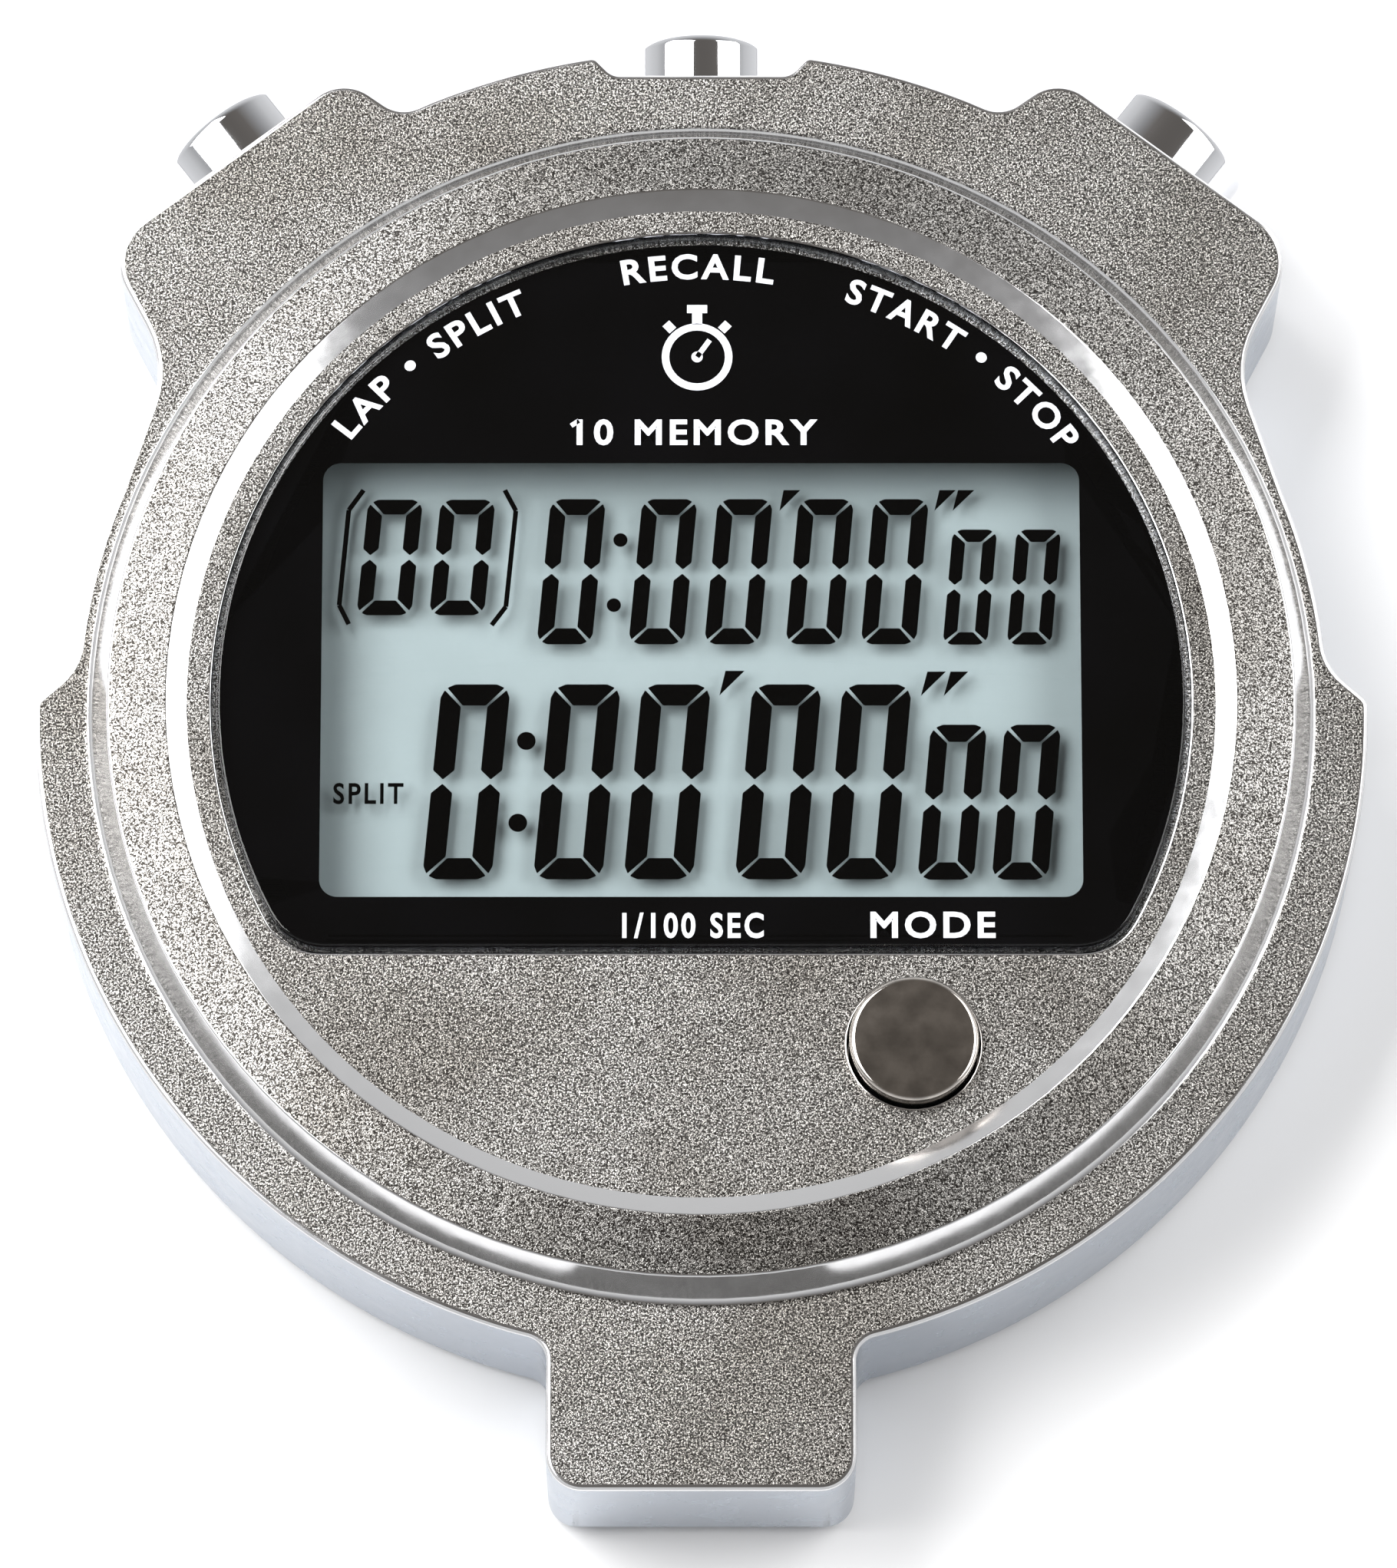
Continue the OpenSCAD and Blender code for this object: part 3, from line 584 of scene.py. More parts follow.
# Finish: its maker, then what the maker is given after the name. A dotted word stands for a setting.
FINISH_TABLE = {
    "chamfer_chrome": (plated, "case.chamfer_chrome", 0.16, 0.012 * MM, 500),
    "wall_chrome": (plated, "case.wall_chrome", 0.24, 0.016 * MM, 520, 0.06),
    "mirror_chrome": (plated, "buttons.mirror_chrome", 0.05, 0.002 * MM),
    "button_chrome": (plated, "buttons.button_chrome", 0.09, 0.006 * MM, 500, 0.35),
    "spring_wire": (plated, (0.58, 0.58, 0.60), 0.25, 0.004 * MM, 1500, 0.2),
    "screw_steel": (plated, (0.62, 0.62, 0.63), 0.22, 0.004 * MM, 1200, 0.2),
    "contact_brass": (brushed, (0.78, 0.60, 0.30), 0.28, 0.002 * MM, (1, 12, 1)),
    "can_nickel": (brushed, (0.68, 0.67, 0.65), 0.25, 0.002 * MM, (1, 10, 1)),
    "cover_steel": (brushed, (0.60, 0.61, 0.63), 0.3, 0.003 * MM, (1, 1, 1), True),
    "print_white": (moulded, "face.print_colour", 0.5, 3000, 0.001 * MM, 0.06),
    "display_back": (moulded, "face.display_grey", 0.6, 4000, 0.001 * MM, 0.03),
    "segment_ink": (moulded, "face.ink", 0.5, 4000, 0.001 * MM, 0.25, 0.0),
    "black_rubber": (moulded, (0.03, 0.03, 0.03), 0.75),
    "black_plastic": (moulded, (0.035, 0.035, 0.037), 0.45, 3500, 0.006 * MM),
    "chip_resin": (moulded, (0.012, 0.012, 0.012), 0.22, 500, 0.03 * MM),
    "capacitor_ceramic": (moulded, (0.72, 0.62, 0.46), 0.5),
    "piezo_ceramic": (moulded, (0.86, 0.85, 0.80), 0.35, 1500, 0.004 * MM, 0.1),
    "amber_film": (moulded, (0.50, 0.30, 0.06), 0.3, 900, 0.004 * MM),
    "display_film": (clear, "face.film_tint"),
    "display_glass": (clear, grey(0.985)),
}
FINISHES = {}


def finish(name):
    """The finish of that name, made once."""
    if name in FINISHES:
        return FINISHES[name]
    if name in FINISH_MAKERS:
        FINISHES[name] = FINISH_MAKERS[name]()
    else:
        maker, base, *rest = FINISH_TABLE[name]
        if isinstance(base, str):
            group, setting = base.split(".")
            base = getattr(settings(group), setting)
        FINISHES[name] = maker(name, base, *rest)
    return FINISHES[name]


# CAD nodes that keep their shape, by finish
NODE_FINISHES = {
    "window_black": ["lens_mask"],
    "black_rubber": [
        "lens_adhesive", "mode_seal", "lap_o_ring", "recall_o_ring", "start_o_ring",
        "upper_zebra_strip", "lower_zebra_strip", "cover_gasket",
    ],
    "spring_wire": [
        "lap_retaining_clip", "recall_retaining_clip", "start_retaining_clip", "buzzer_springs",
    ],
    "contact_brass": [
        "mode_contact", "lap_bush", "recall_bush", "start_bush", "lap_switch_leaf",
        "recall_switch_leaf", "start_switch_leaf", "cell_clip", "cell_contact", "buzzer_plate",
    ],
    "display_film": ["display_front_polariser"],
    "display_glass": ["display_front_glass", "display_rear_glass"],
    "display_back": ["display_reflector"],
    "black_plastic": ["display_frame"],
    "board_laminate": ["circuit_board"],
    "screw_steel": ["board_screws"],
    "chip_resin": ["chip_cover"],
    "can_nickel": ["crystal", "coin_cell"],
    "capacitor_ceramic": ["chip_capacitors"],
    "piezo_ceramic": ["buzzer_ceramic"],
    "amber_film": ["cell_insulator"],
}


# ---- Operators, one for each piece or group of like pieces ----


class STOPWATCH_OT_case(bpy.types.Operator):
    """Make the die-cast case with its softened edges and three chrome finishes"""

    bl_idname = "stopwatch.case"
    bl_label = "Case"

    def execute(self, context):
        case = context.scene.stopwatch_case
        bm = copy_of("front_case")
        soften(bm, sharp_edges(bm, self.is_rim), case.rim_bevel)
        soften(bm, sharp_edges(bm, self.is_foot, 25), case.foot_bevel)
        soften(bm, sharp_edges(bm, self.is_recess, 60), case.hole_bevel, 2)
        soften(bm, sharp_edges(bm, self.is_ring, 15), case.ring_bevel, 2)
        soften(bm, sharp_edges(bm, self.is_root, hollow=True), case.ring_fillet)
        soften(bm, sharp_edges(bm, self.is_hole, 60), case.hole_bevel, 2)
        for face in bm.faces:
            face.material_index = self.finish_of(face)
        finishes = [finish("pearl_chrome"), finish("chamfer_chrome"), finish("wall_chrome")]
        finish_piece("case_shell", bm, finishes, "case", ["front_case"], sharp=29)
        return {"FINISHED"}

    @staticmethod
    def is_rim(co):
        """True on the flange's outer edge, and on the edges of the tab's face."""
        return is_near(co.z, FLANGE_Z) and flat_radius(co) > RING_BASE_R + NEAR

    @staticmethod
    def is_foot(co):
        """True on the back's outer edge, which follows the tab's round heel."""
        if co.z > BACK_Z + HEEL_R + NEAR:
            return False
        if co.y < TAB_TOP_Y:
            return abs(co.x) > TAB_HALF - NEAR
        return flat_radius(co) > RING_BASE_R and is_near(co.z, BACK_Z)

    @staticmethod
    def is_recess(co):
        """True on the side wall, between its foot and its rim."""
        return RECESS_LOW_Z < co.z < RECESS_HIGH_Z and flat_radius(co) > WALL_R

    @staticmethod
    def is_ring(co):
        """True on the raised ring's top and chamfers."""
        return co.z > DIAL_Z - NEAR and DIAL_R - NEAR < flat_radius(co) < RING_BASE_R

    @staticmethod
    def is_root(co):
        """True where the raised ring's wall meets the flange."""
        return is_near(co.z, FLANGE_Z) and is_near(flat_radius(co), RING_BASE_R)

    @staticmethod
    def is_hole(co):
        """True on the edges of the dial's window and its button hole."""
        return is_near(co.z, DIAL_Z) and flat_radius(co) < DIAL_R - NEAR

    @staticmethod
    def finish_of(face):
        """Pearl on the flats, polished on the chamfers and the rim's bevel, plain on the walls."""
        if face.calc_center_median().z < FLANGE_Z - RIM_DEPTH or face.normal.z < WALL_RISE:
            return WALL
        return PEARL if face.normal.z > PEARL_RISE else CHAMFER


class STOPWATCH_OT_lens(bpy.types.Operator):
    """Make the clear lens with its bevelled edge"""

    bl_idname = "stopwatch.lens"
    bl_label = "Lens"

    def execute(self, context):
        bm = copy_of("lens")
        top_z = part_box("lens")[1].z
        top = sharp_edges(bm, lambda co: co.z > top_z - NEAR)
        soften(bm, top, context.scene.stopwatch_face.lens_bevel)
        finish_piece("window_lens", bm, [finish("window_acrylic")], "case", ["lens"])
        return {"FINISHED"}


# Printed words: text, height of a capital, width, middle x and foot y, all in millimetres
STRAIGHT_WORDS = [
    ("10 MEMORY", 1.36, 11.9, -0.2, 13.3),
    ("1/100 SEC", 1.3, 6.9, -0.4, -11.95),
    ("MODE", 1.36, 6.1, 11.3, -11.95),
]
# Words on an arc: text, height of a capital and radius of the letters' feet in millimetres,
# then the first and last clockwise angle from the top
ARCHED_WORDS = [
    ("RECALL", 1.34, 21.95, -10.0, 9.3),
    ("LAP • SPLIT", 1.34, 21.95, -51.8, -22.8),
    ("START • STOP", 1.34, 21.95, 18.8, 53.9),
]
PRINT_T = 0.006 * MM    # thickness of the print, and its gap above the mask
# How far the letters' strokes grow outwards, as a part of the type's size
PRINT_BOLD = 0.026
SPLIT_BOLD = 0.02
LETTER_SPACING = 1.22


def word_mesh(text, capital, bold):
    """A flat mesh of the text with its left foot at the origin and capitals of the given height."""
    curve = bpy.data.curves.new("word", "FONT")
    curve.body = text
    curve.offset = bold
    curve.space_character = LETTER_SPACING
    curve.resolution_u = 4
    holder = bpy.data.objects.new("word", curve)
    bpy.context.scene.collection.objects.link(holder)
    bpy.context.view_layer.update()
    graph = bpy.context.evaluated_depsgraph_get()
    mesh = bpy.data.meshes.new_from_object(holder.evaluated_get(graph))
    bpy.data.objects.remove(holder)
    bpy.data.curves.remove(curve)
    bm = bmesh.new()
    bm.from_mesh(mesh)
    bpy.data.meshes.remove(mesh)
    xs = [v.co.x for v in bm.verts]
    low, high = min(v.co.y for v in bm.verts), max(v.co.y for v in bm.verts)
    bmesh.ops.translate(bm, verts=bm.verts, vec=(-min(xs), -low, 0))
    bmesh.ops.scale(bm, verts=bm.verts, vec=grey(capital / (high - low)))
    return bm


def stretch_to(bm, width):
    right = max(v.co.x for v in bm.verts)
    bmesh.ops.scale(bm, verts=bm.verts, vec=(width / right, 1, 1))


def add_mesh(bm, part):
    """Moves one bmesh's content into another."""
    mesh = bpy.data.meshes.new("part")
    part.to_mesh(mesh)
    part.free()
    bm.from_mesh(mesh)
    bpy.data.meshes.remove(mesh)


def thicken_up(bm, low, t):
    """Gives flat faces at any height a thickness from low to low + t."""
    for v in bm.verts:
        v.co.z = low
    bmesh.ops.recalc_face_normals(bm, faces=bm.faces)
    for face in bm.faces:
        if face.normal.z > 0:
            face.normal_flip()
    made = bmesh.ops.extrude_face_region(bm, geom=list(bm.faces), use_keep_orig=True)
    moved = [g for g in made["geom"] if isinstance(g, bmesh.types.BMVert)]
    bmesh.ops.translate(bm, verts=moved, vec=(0, 0, t))
    bmesh.ops.recalc_face_normals(bm, faces=bm.faces)


def ring_shape(bm, centre, outer, inner, steps=40):
    """A flat ring, or a disc where inner is 0."""
    if inner == 0:
        bmesh.ops.create_circle(
            bm, cap_ends=True, radius=outer, segments=steps, matrix=Matrix.Translation(centre)
        )
        return
    start = [bm.verts.new(Vector(centre) + Vector((r, 0, 0))) for r in (inner, outer)]
    edge = bm.edges.new(start)
    bmesh.ops.spin(
        bm,
        geom=[*start, edge],
        cent=centre,
        axis=(0, 0, 1),
        angle=math.tau,
        steps=steps,
        use_merge=True,
    )


def bar_shape(bm, start, end, width):
    """A flat straight stroke between two points."""
    start, end = Vector(start), Vector(end)
    along = end - start
    matrix = (
        Matrix.Translation((start + end) / 2)
        @ Matrix.Rotation(math.atan2(along.y, along.x), 4, "Z")
        @ Matrix.Diagonal((along.length / 2, width / 2, 1, 1))
    )
    bmesh.ops.create_grid(bm, x_segments=1, y_segments=1, size=1, matrix=matrix)


class STOPWATCH_OT_printing(bpy.types.Operator):
    """Print the function words and a plain stopwatch sign under the lens"""

    bl_idname = "stopwatch.printing"
    bl_label = "Printing"

    def execute(self, context):
        bm = bmesh.new()
        for text, capital, width, middle, foot in STRAIGHT_WORDS:
            word = word_mesh(text, capital * MM, PRINT_BOLD)
            stretch_to(word, width * MM)
            bmesh.ops.translate(word, verts=word.verts, vec=((middle - width / 2) * MM, foot * MM, 0))
            add_mesh(bm, word)
        for text, capital, radius, first, last in ARCHED_WORDS:
            word = word_mesh(text, capital * MM, PRINT_BOLD)
            stretch_to(word, math.radians(last - first) * radius * MM)
            for v in word.verts:
                turn = first + math.degrees(v.co.x / (radius * MM))
                v.co = polar(radius * MM + v.co.y, turn)
            add_mesh(bm, word)
        self.sign(bm)
        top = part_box("lens_mask")[1].z
        thicken_up(bm, top + PRINT_T, PRINT_T)
        finish_piece("face_printing", bm, [finish("print_white")], "case")
        return {"FINISHED"}

    @staticmethod
    def sign(bm):
        """A ring with a crown, two lugs and a hand, and the flag of the figure one below it."""
        middle = Vector((-0.2, 17.9, 0)) * MM

        def stroke(start, end, width):
            start, end = (middle + Vector((x, y, 0)) * MM for x, y in (start, end))
            bar_shape(bm, start, end, width * MM)

        stroke((-6.22, -3.58), (-5.84, -3.32), 0.24)    # the flag
        ring_shape(bm, middle, 1.75 * MM, 1.38 * MM)
        ring_shape(bm, middle, 0.28 * MM, 0)
        stroke((0, 0), (0.62, 0.88), 0.26)    # the hand
        stroke((0, 1.7), (0, 2.3), 0.5)    # the crown's stem
        stroke((-0.5, 2.5), (0.5, 2.5), 0.42)
        for side in (-1, 1):
            stroke((side * 1.2, 1.38), (side * 1.55, 1.75), 0.45)


# The display's figures: left edge and foot from the window's middle, width, height and the strokes'
# thickness across and down, then how far each place lies from the first. All in millimetres.
FIGURE_GROUPS = [
    (-17.02, 3.31, 2.71, 5.98, 0.76, 0.76, (0, 3.59)),
    (-8.12, 1.81, 2.73, 7.51, 0.82, 0.80, (0, 4.53, 8.27, 12.28, 15.99)),
    (11.91, 1.79, 2.20, 5.95, 0.64, 0.67, (0, 3.16)),
    (-13.68, -10.23, 3.40, 9.97, 1.08, 1.05, (0, 5.43, 9.87, 15.32, 19.76)),
    (10.59, -10.25, 2.77, 7.92, 0.88, 0.88, (0, 3.64)),
]
# Dots of the colons: middle and radius
COLON_DOTS = [(-3.99, 7.20, 0.35), (-4.31, 3.83, 0.35), (-8.60, -3.16, 0.46), (-9.0, -7.35, 0.46)]
BRACKETS = [
    [(-16.72, 9.79), (-17.44, 8.75), (-17.87, 3.83), (-17.39, 2.85)],
    [(-9.72, 9.79), (-9.17, 8.72), (-9.64, 3.75), (-10.34, 2.80)],
]
BRACKET_W = 0.24
# Tick marks: right and left end of the top edge, and the tip
TICKS = [
    [(4.91, 9.79), (4.08, 9.79), (3.88, 8.72)],
    [(12.61, 9.79), (11.80, 9.79), (11.55, 8.72)],
    [(13.53, 9.79), (12.72, 9.79), (12.45, 8.72)],
    [(2.14, 0.44), (1.20, 0.44), (0.90, -0.82)],
    [(12.06, 0.40), (11.15, 0.40), (10.82, -0.85)],
    [(13.16, 0.40), (12.29, 0.40), (11.95, -0.85)],
]
# The small word: text, height of a capital, width, left edge and foot
SPLIT_WORD = ("SPLIT", 1.09, 3.45, -18.07, -6.40)
SEGMENT_GAP = 0.1
CORNER_REACH = 0.62    # a figure's outer corners are cut this far along, in stroke widths
CORNER_DEPTH = 0.30    # and this deep, as a part of that
SEGMENT_T = 0.02 * MM
SEGMENT_ROUND = 0.05 * MM


def face_of(bm, points):
    """Adds a flat face with corners given in millimetres."""
    bm.faces.new([bm.verts.new((x * MM, y * MM, 0)) for x, y in points])


def zero_figure(bm, left, foot, w, h, across, down, slant):
    """A seven-segment nought: six mitred strokes with cut outer corners."""
    gap = SEGMENT_GAP
    r = min(across, down) * CORNER_REACH
    cut = r * CORNER_DEPTH
    mid = h / 2
    half = down / 2
    top = [
        (r + gap * 0.3, h), (cut + gap, h - cut + gap * 0.2), (down + gap * 0.75, h - across),
        (w - down - gap * 0.75, h - across), (w - cut - gap, h - cut + gap * 0.2),
        (w - r - gap * 0.3, h),
    ]
    side = [
        (0, h - r - gap * 0.3), (cut - gap * 0.2, h - cut - gap), (down, h - across - gap * 0.75),
        (down, mid + half + gap * 0.6), (half, mid + gap * 1.1), (0, mid + half + gap * 0.6),
    ]
    for mirror_x, mirror_y in ((0, 0), (1, 0), (0, 1), (1, 1)):
        shapes = [side] if mirror_x else [side, top]
        for shape in shapes:
            points = [(w - x if mirror_x else x, h - y if mirror_y else y) for x, y in shape]
            face_of(bm, [(left + x + y * slant, foot + y) for x, y in points])


class STOPWATCH_OT_figures(bpy.types.Operator):
    """Lay the display's figures between its two sheets of glass"""

    bl_idname = "stopwatch.figures"
    bl_label = "Display figures"

    def execute(self, context):
        slant = math.tan(context.scene.stopwatch_face.slant)
        bm = bmesh.new()
        for left, foot, w, h, across, down, places in FIGURE_GROUPS:
            for place in places:
                zero_figure(bm, left + place, foot, w, h, across, down, slant)
        bmesh.ops.bevel(
            bm,
            geom=bm.verts[:],
            offset=SEGMENT_ROUND,
            segments=2,
            profile=0.5,
            affect="VERTICES",
            material=-1,
        )
        for points in TICKS:
            face_of(bm, points)
        for points in BRACKETS:
            corners = [(x * MM, y * MM, 0) for x, y in points]
            for start, end in zip(corners, corners[1:]):
                bar_shape(bm, start, end, BRACKET_W * MM)
        for x, y, r in COLON_DOTS:
            ring_shape(bm, (x * MM, y * MM, 0), r * MM, 0, 32)
        text, capital, width, left, foot = SPLIT_WORD
        word = word_mesh(text, capital * MM, SPLIT_BOLD)
        stretch_to(word, width * MM)
        bmesh.ops.translate(word, verts=word.verts, vec=(left * MM, foot * MM, 0))
        add_mesh(bm, word)
        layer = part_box("display_rear_glass")[1].z
        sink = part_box("lens_mask")[0].z - layer
        tilt = math.tan(context.scene.stopwatch_stage.tilt)
        bmesh.ops.translate(bm, verts=bm.verts, vec=(0, WINDOW_MIDDLE_Y + sink * tilt, 0))
        thicken_up(bm, layer, SEGMENT_T)
        finish_piece("display_figures", bm, [finish("segment_ink")], "case")
        return {"FINISHED"}


PUSHERS = {"lap": "lap_press", "recall": "recall_press", "start": "start_press"}


def joint_axis(name):
    for joint in frame["joints"]:
        if joint["name"] == name:
            return Vector(joint["axis"]).normalized()
    raise ValueError("no joint named " + name)


def along_axis(node, outwards):
    """Lowest and highest reach of a node along an axis through the origin."""
    reach = [v.co.dot(outwards) for v in frame["nodes"][node].data.vertices]
    return min(reach), max(reach)


def stand_on(outwards, height):
    """Turns a shape whose axis is +Z so that it lies on a pusher's axis."""
    return Matrix.Translation((0, 0, height)) @ UP.rotation_difference(outwards).to_matrix().to_4x4()


class STOPWATCH_OT_pushers(bpy.types.Operator):
    """Turn the three pushers with their mirror-bright caps"""

    bl_idname = "stopwatch.pushers"
    bl_label = "Pushers"

    def execute(self, context):
        edge = context.scene.stopwatch_buttons.cap_round
        for name, joint in PUSHERS.items():
            outwards = -joint_axis(joint)
            node = name + "_pusher"
            low, high = along_axis(node, outwards)
            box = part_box(node)
            middle = (box[0].z + box[1].z) / 2
            cap_r = (box[1].z - box[0].z) / 2
            self.turn(name, outwards, low, high, middle, cap_r, edge)
        return {"FINISHED"}

    @staticmethod
    def turn(name, outwards, low, high, middle, cap_r, edge):
        clip_low, clip_high = along_axis(name + "_retaining_clip", outwards)
        ring_low, ring_high = along_axis(name + "_o_ring", outwards)
        clip_r, ring_r, hollow_r = STEM_R - CLIP_GROOVE, STEM_R - RING_GROOVE, cap_r - CAP_WALL
        ease, chamfer = GROOVE_EASE, STEM_CHAMFER
        outline = [
            (0, low), (STEM_R - chamfer, low), (STEM_R, low + chamfer),
            (STEM_R, clip_low - ease), (clip_r, clip_low - ease),
            (clip_r, clip_high + ease), (STEM_R, clip_high + ease),
            (STEM_R, ring_low - ease), (ring_r, ring_low - ease),
            (ring_r, ring_high + ease), (STEM_R, ring_high + ease),
            (STEM_R, high - CAP_ROOF), (hollow_r, high - CAP_ROOF), (hollow_r, high - CAP_SKIRT),
            (cap_r, high - CAP_SKIRT), (cap_r, high), (0, high),
        ]
        bm = bmesh.new()
        turned(bm, outline, {len(outline) - 2: edge, len(outline) - 3: CAP_FOOT_ROUND})
        bmesh.ops.transform(bm, verts=bm.verts, matrix=stand_on(outwards, middle))
        finishes = [finish("mirror_chrome")]
        finish_piece(
            name + "_cap", bm, finishes, name, [name + "_pusher"], sharp=28
        )


class STOPWATCH_OT_mode_button(bpy.types.Operator):
    """Turn the round face button with its lip and stem"""

    bl_idname = "stopwatch.mode_button"
    bl_label = "Mode button"

    def execute(self, context):
        edge = context.scene.stopwatch_buttons.button_round
        low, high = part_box("mode_button")
        centre = (low + high) / 2
        lip_r = (high.x - low.x) / 2
        r = lip_r - KEY_LIP
        lip_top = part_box("mode_seal")[0].z
        lip_low = lip_top - KEY_LIP_T
        outline = [
            (0, low.z), (KEY_STEM_R, low.z), (KEY_STEM_R, lip_low), (lip_r, lip_low),
            (lip_r, lip_top), (r, lip_top), (r, high.z), (0, high.z),
        ]
        bm = bmesh.new()
        turned(bm, outline, {len(outline) - 2: edge})
        bmesh.ops.translate(bm, verts=bm.verts, vec=(centre.x, centre.y, 0))
        finishes = [finish("button_chrome")]
        finish_piece("mode_key", bm, finishes, "mode", ["mode_button"], sharp=28)
        return {"FINISHED"}


def wound(bm, radius, wire, turns, height, per_turn=32, sides=10):
    """Winds a round wire from z = 0 to z = height about the Z axis, with closed ends."""
    matrix = Matrix.Translation((radius, 0, wire)) @ Matrix.Rotation(math.pi / 2, 4, "X")
    made = bmesh.ops.create_circle(bm, cap_ends=False, radius=wire, segments=sides, matrix=matrix)
    steps = int(turns * per_turn)
    rise = (height - 2 * wire) / steps
    bmesh.ops.spin(
        bm,
        geom=made["verts"] + list(bm.edges),
        cent=(0, 0, 0),
        axis=(0, 0, 1),
        dvec=(0, 0, rise),
        angle=math.tau * turns,
        steps=steps,
    )
    bmesh.ops.holes_fill(bm, edges=[e for e in bm.edges if e.is_boundary], sides=sides)
    bmesh.ops.recalc_face_normals(bm, faces=bm.faces)


class STOPWATCH_OT_springs(bpy.types.Operator):
    """Wind the return springs"""

    bl_idname = "stopwatch.springs"
    bl_label = "Return springs"

    def execute(self, context):
        for name, joint in PUSHERS.items():
            outwards = -joint_axis(joint)
            low, high = along_axis(name + "_spring", outwards)
            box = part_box(name + "_spring")
            bm = bmesh.new()
            wound(bm, *PUSHER_SPRING, high - low)
            bmesh.ops.translate(bm, verts=bm.verts, vec=(0, 0, low))
            height = (box[0].z + box[1].z) / 2
            bmesh.ops.transform(bm, verts=bm.verts, matrix=stand_on(outwards, height))
            anchor = outwards * low + Vector((0, 0, height))
            self.fit(name, bm, joint, outwards, anchor, high - low)
        low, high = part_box("mode_spring")
        centre = (low + high) / 2
        bm = bmesh.new()
        wound(bm, *BUTTON_SPRING, high.z - low.z)
        bmesh.ops.translate(bm, verts=bm.verts, vec=(centre.x, centre.y, low.z))
        self.fit("mode", bm, "mode_press", UP, (centre.x, centre.y, low.z), high.z - low.z)
        return {"FINISHED"}

    @staticmethod
    def fit(name, bm, joint, axis, anchor, rest):
        """Makes the spring piece, which rides on the case in place of the CAD spring. Its joint,
        axis, anchor and rest are not used.
        """
        finishes = [finish("spring_wire")]
        piece = finish_piece(
            name + "_return_spring", bm, finishes, "case", [name + "_spring"]
        )
        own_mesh(piece)


class STOPWATCH_OT_back(bpy.types.Operator):
    """Make the turned steel back cover, its screws and the lanyard bar"""

    bl_idname = "stopwatch.back"
    bl_label = "Back and bar"

    def execute(self, context):
        bm = copy_of("back_cover")
        soften(bm, sharp_edges(bm, self.is_bottom), PLATE_BEVEL)
        finishes = [finish("cover_steel")]
        finish_piece("back_plate", bm, finishes, "case", ["back_cover"])
        bm = copy_of("cover_screws")
        soften(bm, sharp_edges(bm, self.is_bottom, 60), SCREW_BEVEL, 2)
        finishes = [finish("screw_steel")]
        finish_piece("back_screws", bm, finishes, "case", ["cover_screws"])
        bm = copy_of("lanyard_bar")
        left, right = (corner.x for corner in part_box("lanyard_bar"))
        soften(bm, sharp_edges(bm, lambda co: is_near(co.x, left) or is_near(co.x, right)), BAR_BEVEL)
        finishes = [finish("mirror_chrome")]
        finish_piece("strap_bar", bm, finishes, "case", ["lanyard_bar"])
        return {"FINISHED"}

    @staticmethod
    def is_bottom(co):
        return co.z < NEAR


class STOPWATCH_OT_inner_finishes(bpy.types.Operator):
    """Give every CAD node that keeps its shape its own finish"""

    bl_idname = "stopwatch.inner_finishes"
    bl_label = "Inner parts"

    def execute(self, context):
        for name, nodes in NODE_FINISHES.items():
            for node in nodes:
                for slot in frame["nodes"][node].material_slots:
                    slot.material = finish(name)
        return {"FINISHED"}


# Softboxes: middle, then length and width. Both face the origin
LEFT_SOFTBOX = (-0.247, 0.097, 0.339), (0.42, 0.29)
RIGHT_SOFTBOX = (0.286, 0.080, 0.297), (0.42, 0.23)
# The sky's shades, from the horizon at 0 to straight above at 1
SKY_SHADES = [
    (0.0, grey(0.85)),
    (0.35, grey(0.66)),
    (0.66, grey(0.32)),
    (0.82, (0.16, 0.147, 0.135)),
    (1.0, (0.12, 0.11, 0.10)),
]
FLOOR_HALF = 2.0
FLOOR_DROP = 0.02 * MM    # the floor lies this far below the back
CAMERA_AIM = (-0.13 * MM, -3.9 * MM, FLANGE_Z)
CAMERA_CLIP = (0.01, 10)


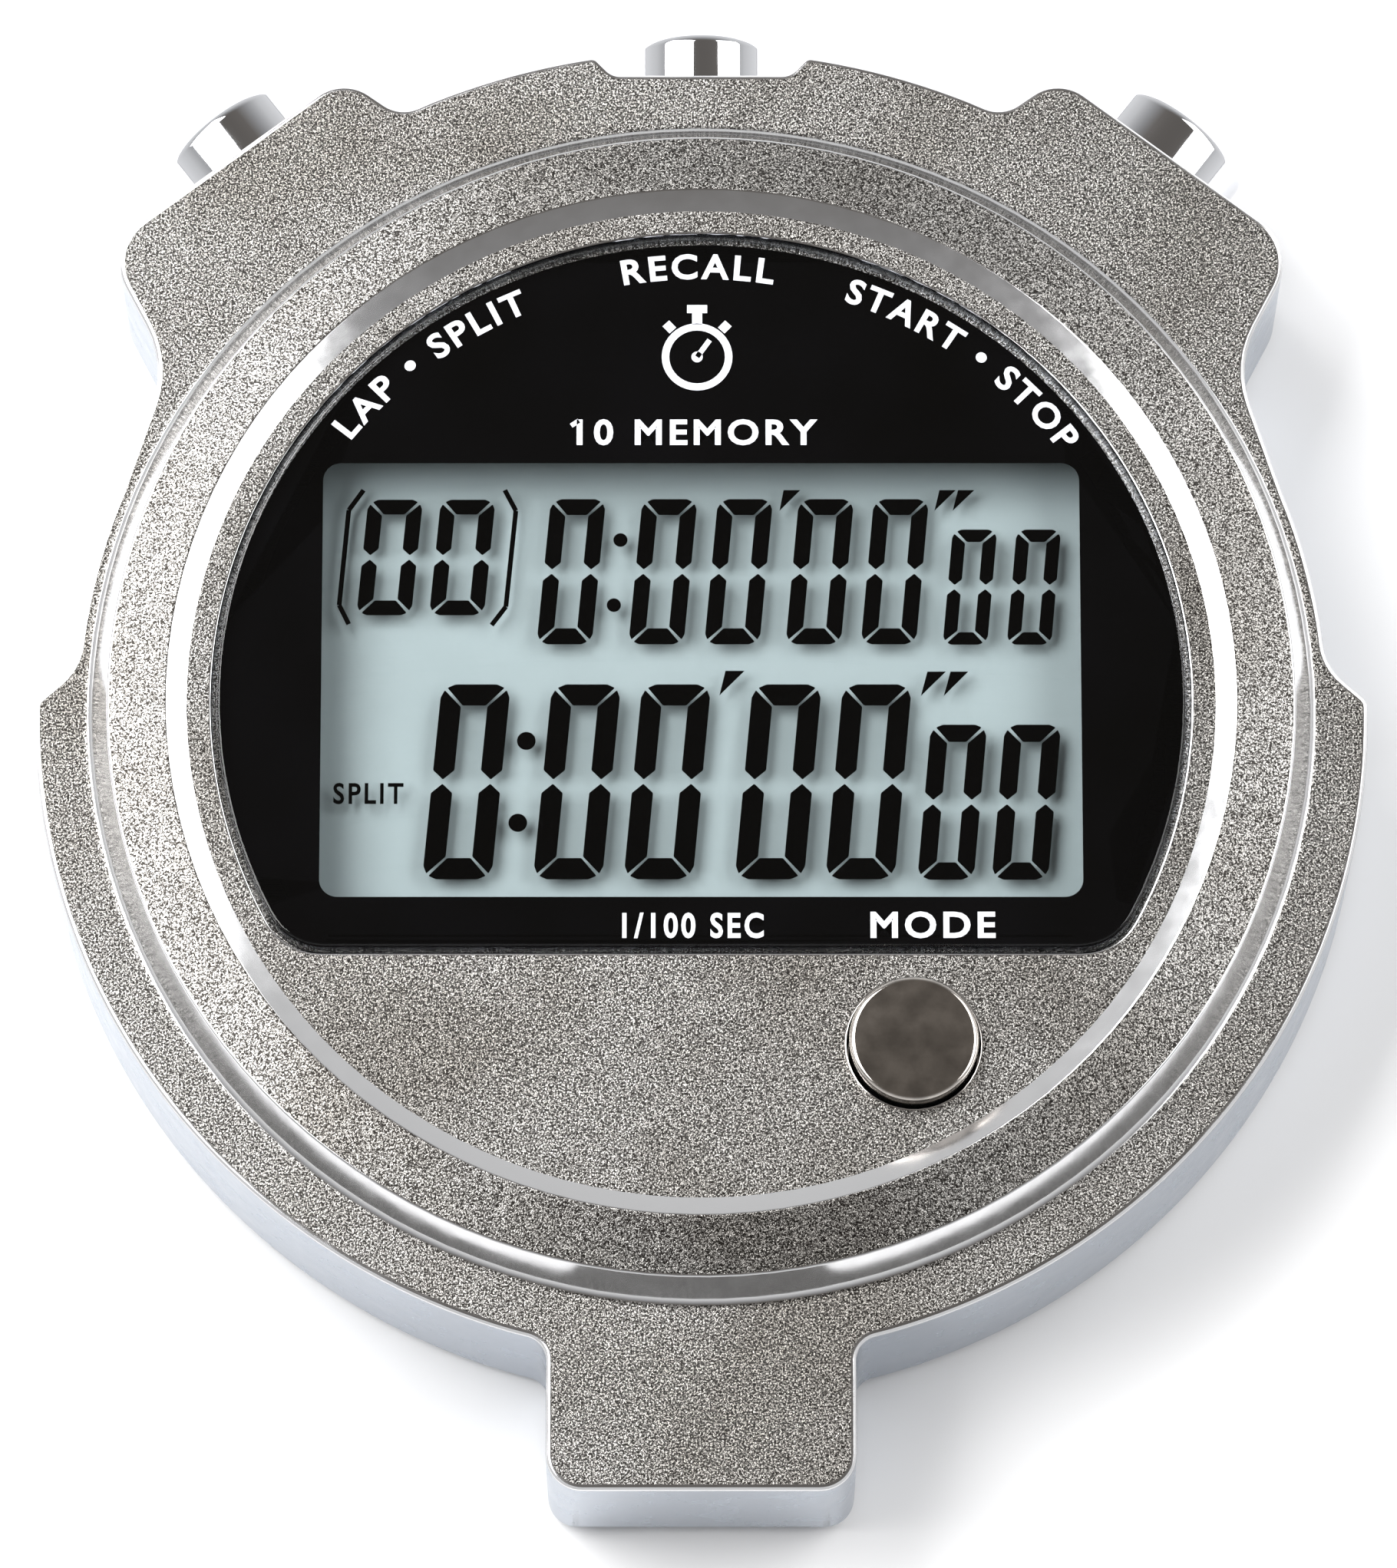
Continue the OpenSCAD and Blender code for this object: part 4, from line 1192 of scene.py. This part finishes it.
class STOPWATCH_OT_stage(bpy.types.Operator):
    """Set out the floor, the lights and the camera"""

    bl_idname = "stopwatch.stage"
    bl_label = "Stage"

    def execute(self, context):
        stage = context.scene.stopwatch_stage
        self.floor(stage)
        self.sky()
        self.softbox("left_softbox", *LEFT_SOFTBOX, stage.left_power)
        self.softbox("right_softbox", *RIGHT_SOFTBOX, stage.right_power)
        self.camera(stage)
        context.scene.view_settings.view_transform = "Standard"
        context.scene.cycles.transparent_max_bounces = CLEAR_LAYERS
        return {"FINISHED"}

    @staticmethod
    def floor(stage):
        bm = bmesh.new()
        under = Matrix.Translation((0, 0, -FLOOR_DROP))
        bmesh.ops.create_grid(bm, x_segments=1, y_segments=1, size=FLOOR_HALF, matrix=under)
        mesh = bpy.data.meshes.new("floor")
        bm.to_mesh(mesh)
        bm.free()
        material, tree = new_material("pale_floor")
        output(tree, principled(tree, Base_Color=rgba(stage.floor_colour), Roughness=0.9))
        mesh.materials.append(material)
        floor = bpy.data.objects.new("floor", mesh)
        bpy.context.scene.collection.objects.link(floor)

    @staticmethod
    def sky():
        """Soft white all round, darker overhead where the camera stands."""
        world = bpy.data.worlds.new("studio")
        world.use_nodes = True
        tree = world.node_tree
        tree.nodes.clear()
        place = shader(tree, "ShaderNodeTexCoord").outputs["Generated"]
        height = shader(tree, "ShaderNodeSeparateXYZ", {"Vector": place}).outputs["Z"]
        inputs = {"Color": ramp(tree, height, SKY_SHADES), "Strength": 1.0}
        background = shader(tree, "ShaderNodeBackground", inputs).outputs[0]
        shader(tree, "ShaderNodeOutputWorld", {"Surface": background})
        bpy.context.scene.world = world

    @staticmethod
    def softbox(name, place, size, power):
        light = bpy.data.lights.new(name, "AREA")
        light.shape = "RECTANGLE"
        light.size, light.size_y = size
        light.energy = power
        lamp = bpy.data.objects.new(name, light)
        lamp.location = place
        lamp.rotation_euler = (-Vector(place)).to_track_quat("-Z", "Y").to_euler()
        bpy.context.scene.collection.objects.link(lamp)

    @staticmethod
    def camera(stage):
        data = bpy.data.cameras.new("camera")
        data.lens = stage.focal_length
        data.clip_start, data.clip_end = CAMERA_CLIP
        camera = bpy.data.objects.new("camera", data)
        lean = stage.tilt
        back = Vector((0, -math.sin(lean), math.cos(lean)))
        camera.location = Vector(CAMERA_AIM) + stage.distance * back
        camera.rotation_euler = (lean, 0, 0)
        bpy.context.scene.collection.objects.link(camera)
        bpy.context.scene.camera = camera


OPERATORS = (
    STOPWATCH_OT_case,
    STOPWATCH_OT_lens,
    STOPWATCH_OT_printing,
    STOPWATCH_OT_figures,
    STOPWATCH_OT_pushers,
    STOPWATCH_OT_mode_button,
    STOPWATCH_OT_springs,
    STOPWATCH_OT_back,
    STOPWATCH_OT_inner_finishes,
    STOPWATCH_OT_stage,
)


class STOPWATCH_PT_panel(bpy.types.Panel):
    """Lists the stopwatch's operators and settings"""

    bl_idname = "STOPWATCH_PT_panel"
    bl_label = "Stopwatch"
    bl_space_type = "VIEW_3D"
    bl_region_type = "UI"
    bl_category = "Stopwatch"

    def draw(self, context):
        for operator in OPERATORS:
            self.layout.operator(operator.bl_idname)
        for name, group in SETTINGS.items():
            column = self.layout.column(heading=name)
            for prop in group.__annotations__:
                column.prop(getattr(context.scene, name), prop)


def register():
    for group in SETTINGS.values():
        bpy.utils.register_class(group)
    for name, group in SETTINGS.items():
        setattr(bpy.types.Scene, name, bpy.props.PointerProperty(type=group))
    for operator in OPERATORS:
        bpy.utils.register_class(operator)
    bpy.utils.register_class(STOPWATCH_PT_panel)


def unregister():
    bpy.utils.unregister_class(STOPWATCH_PT_panel)
    for operator in reversed(OPERATORS):
        bpy.utils.unregister_class(operator)
    for name, group in SETTINGS.items():
        delattr(bpy.types.Scene, name)
        bpy.utils.unregister_class(group)


def main():
    register()
    for operator in OPERATORS:
        getattr(bpy.ops.stopwatch, operator.bl_idname.split(".")[1])()


if __name__ == "__main__":
    main()
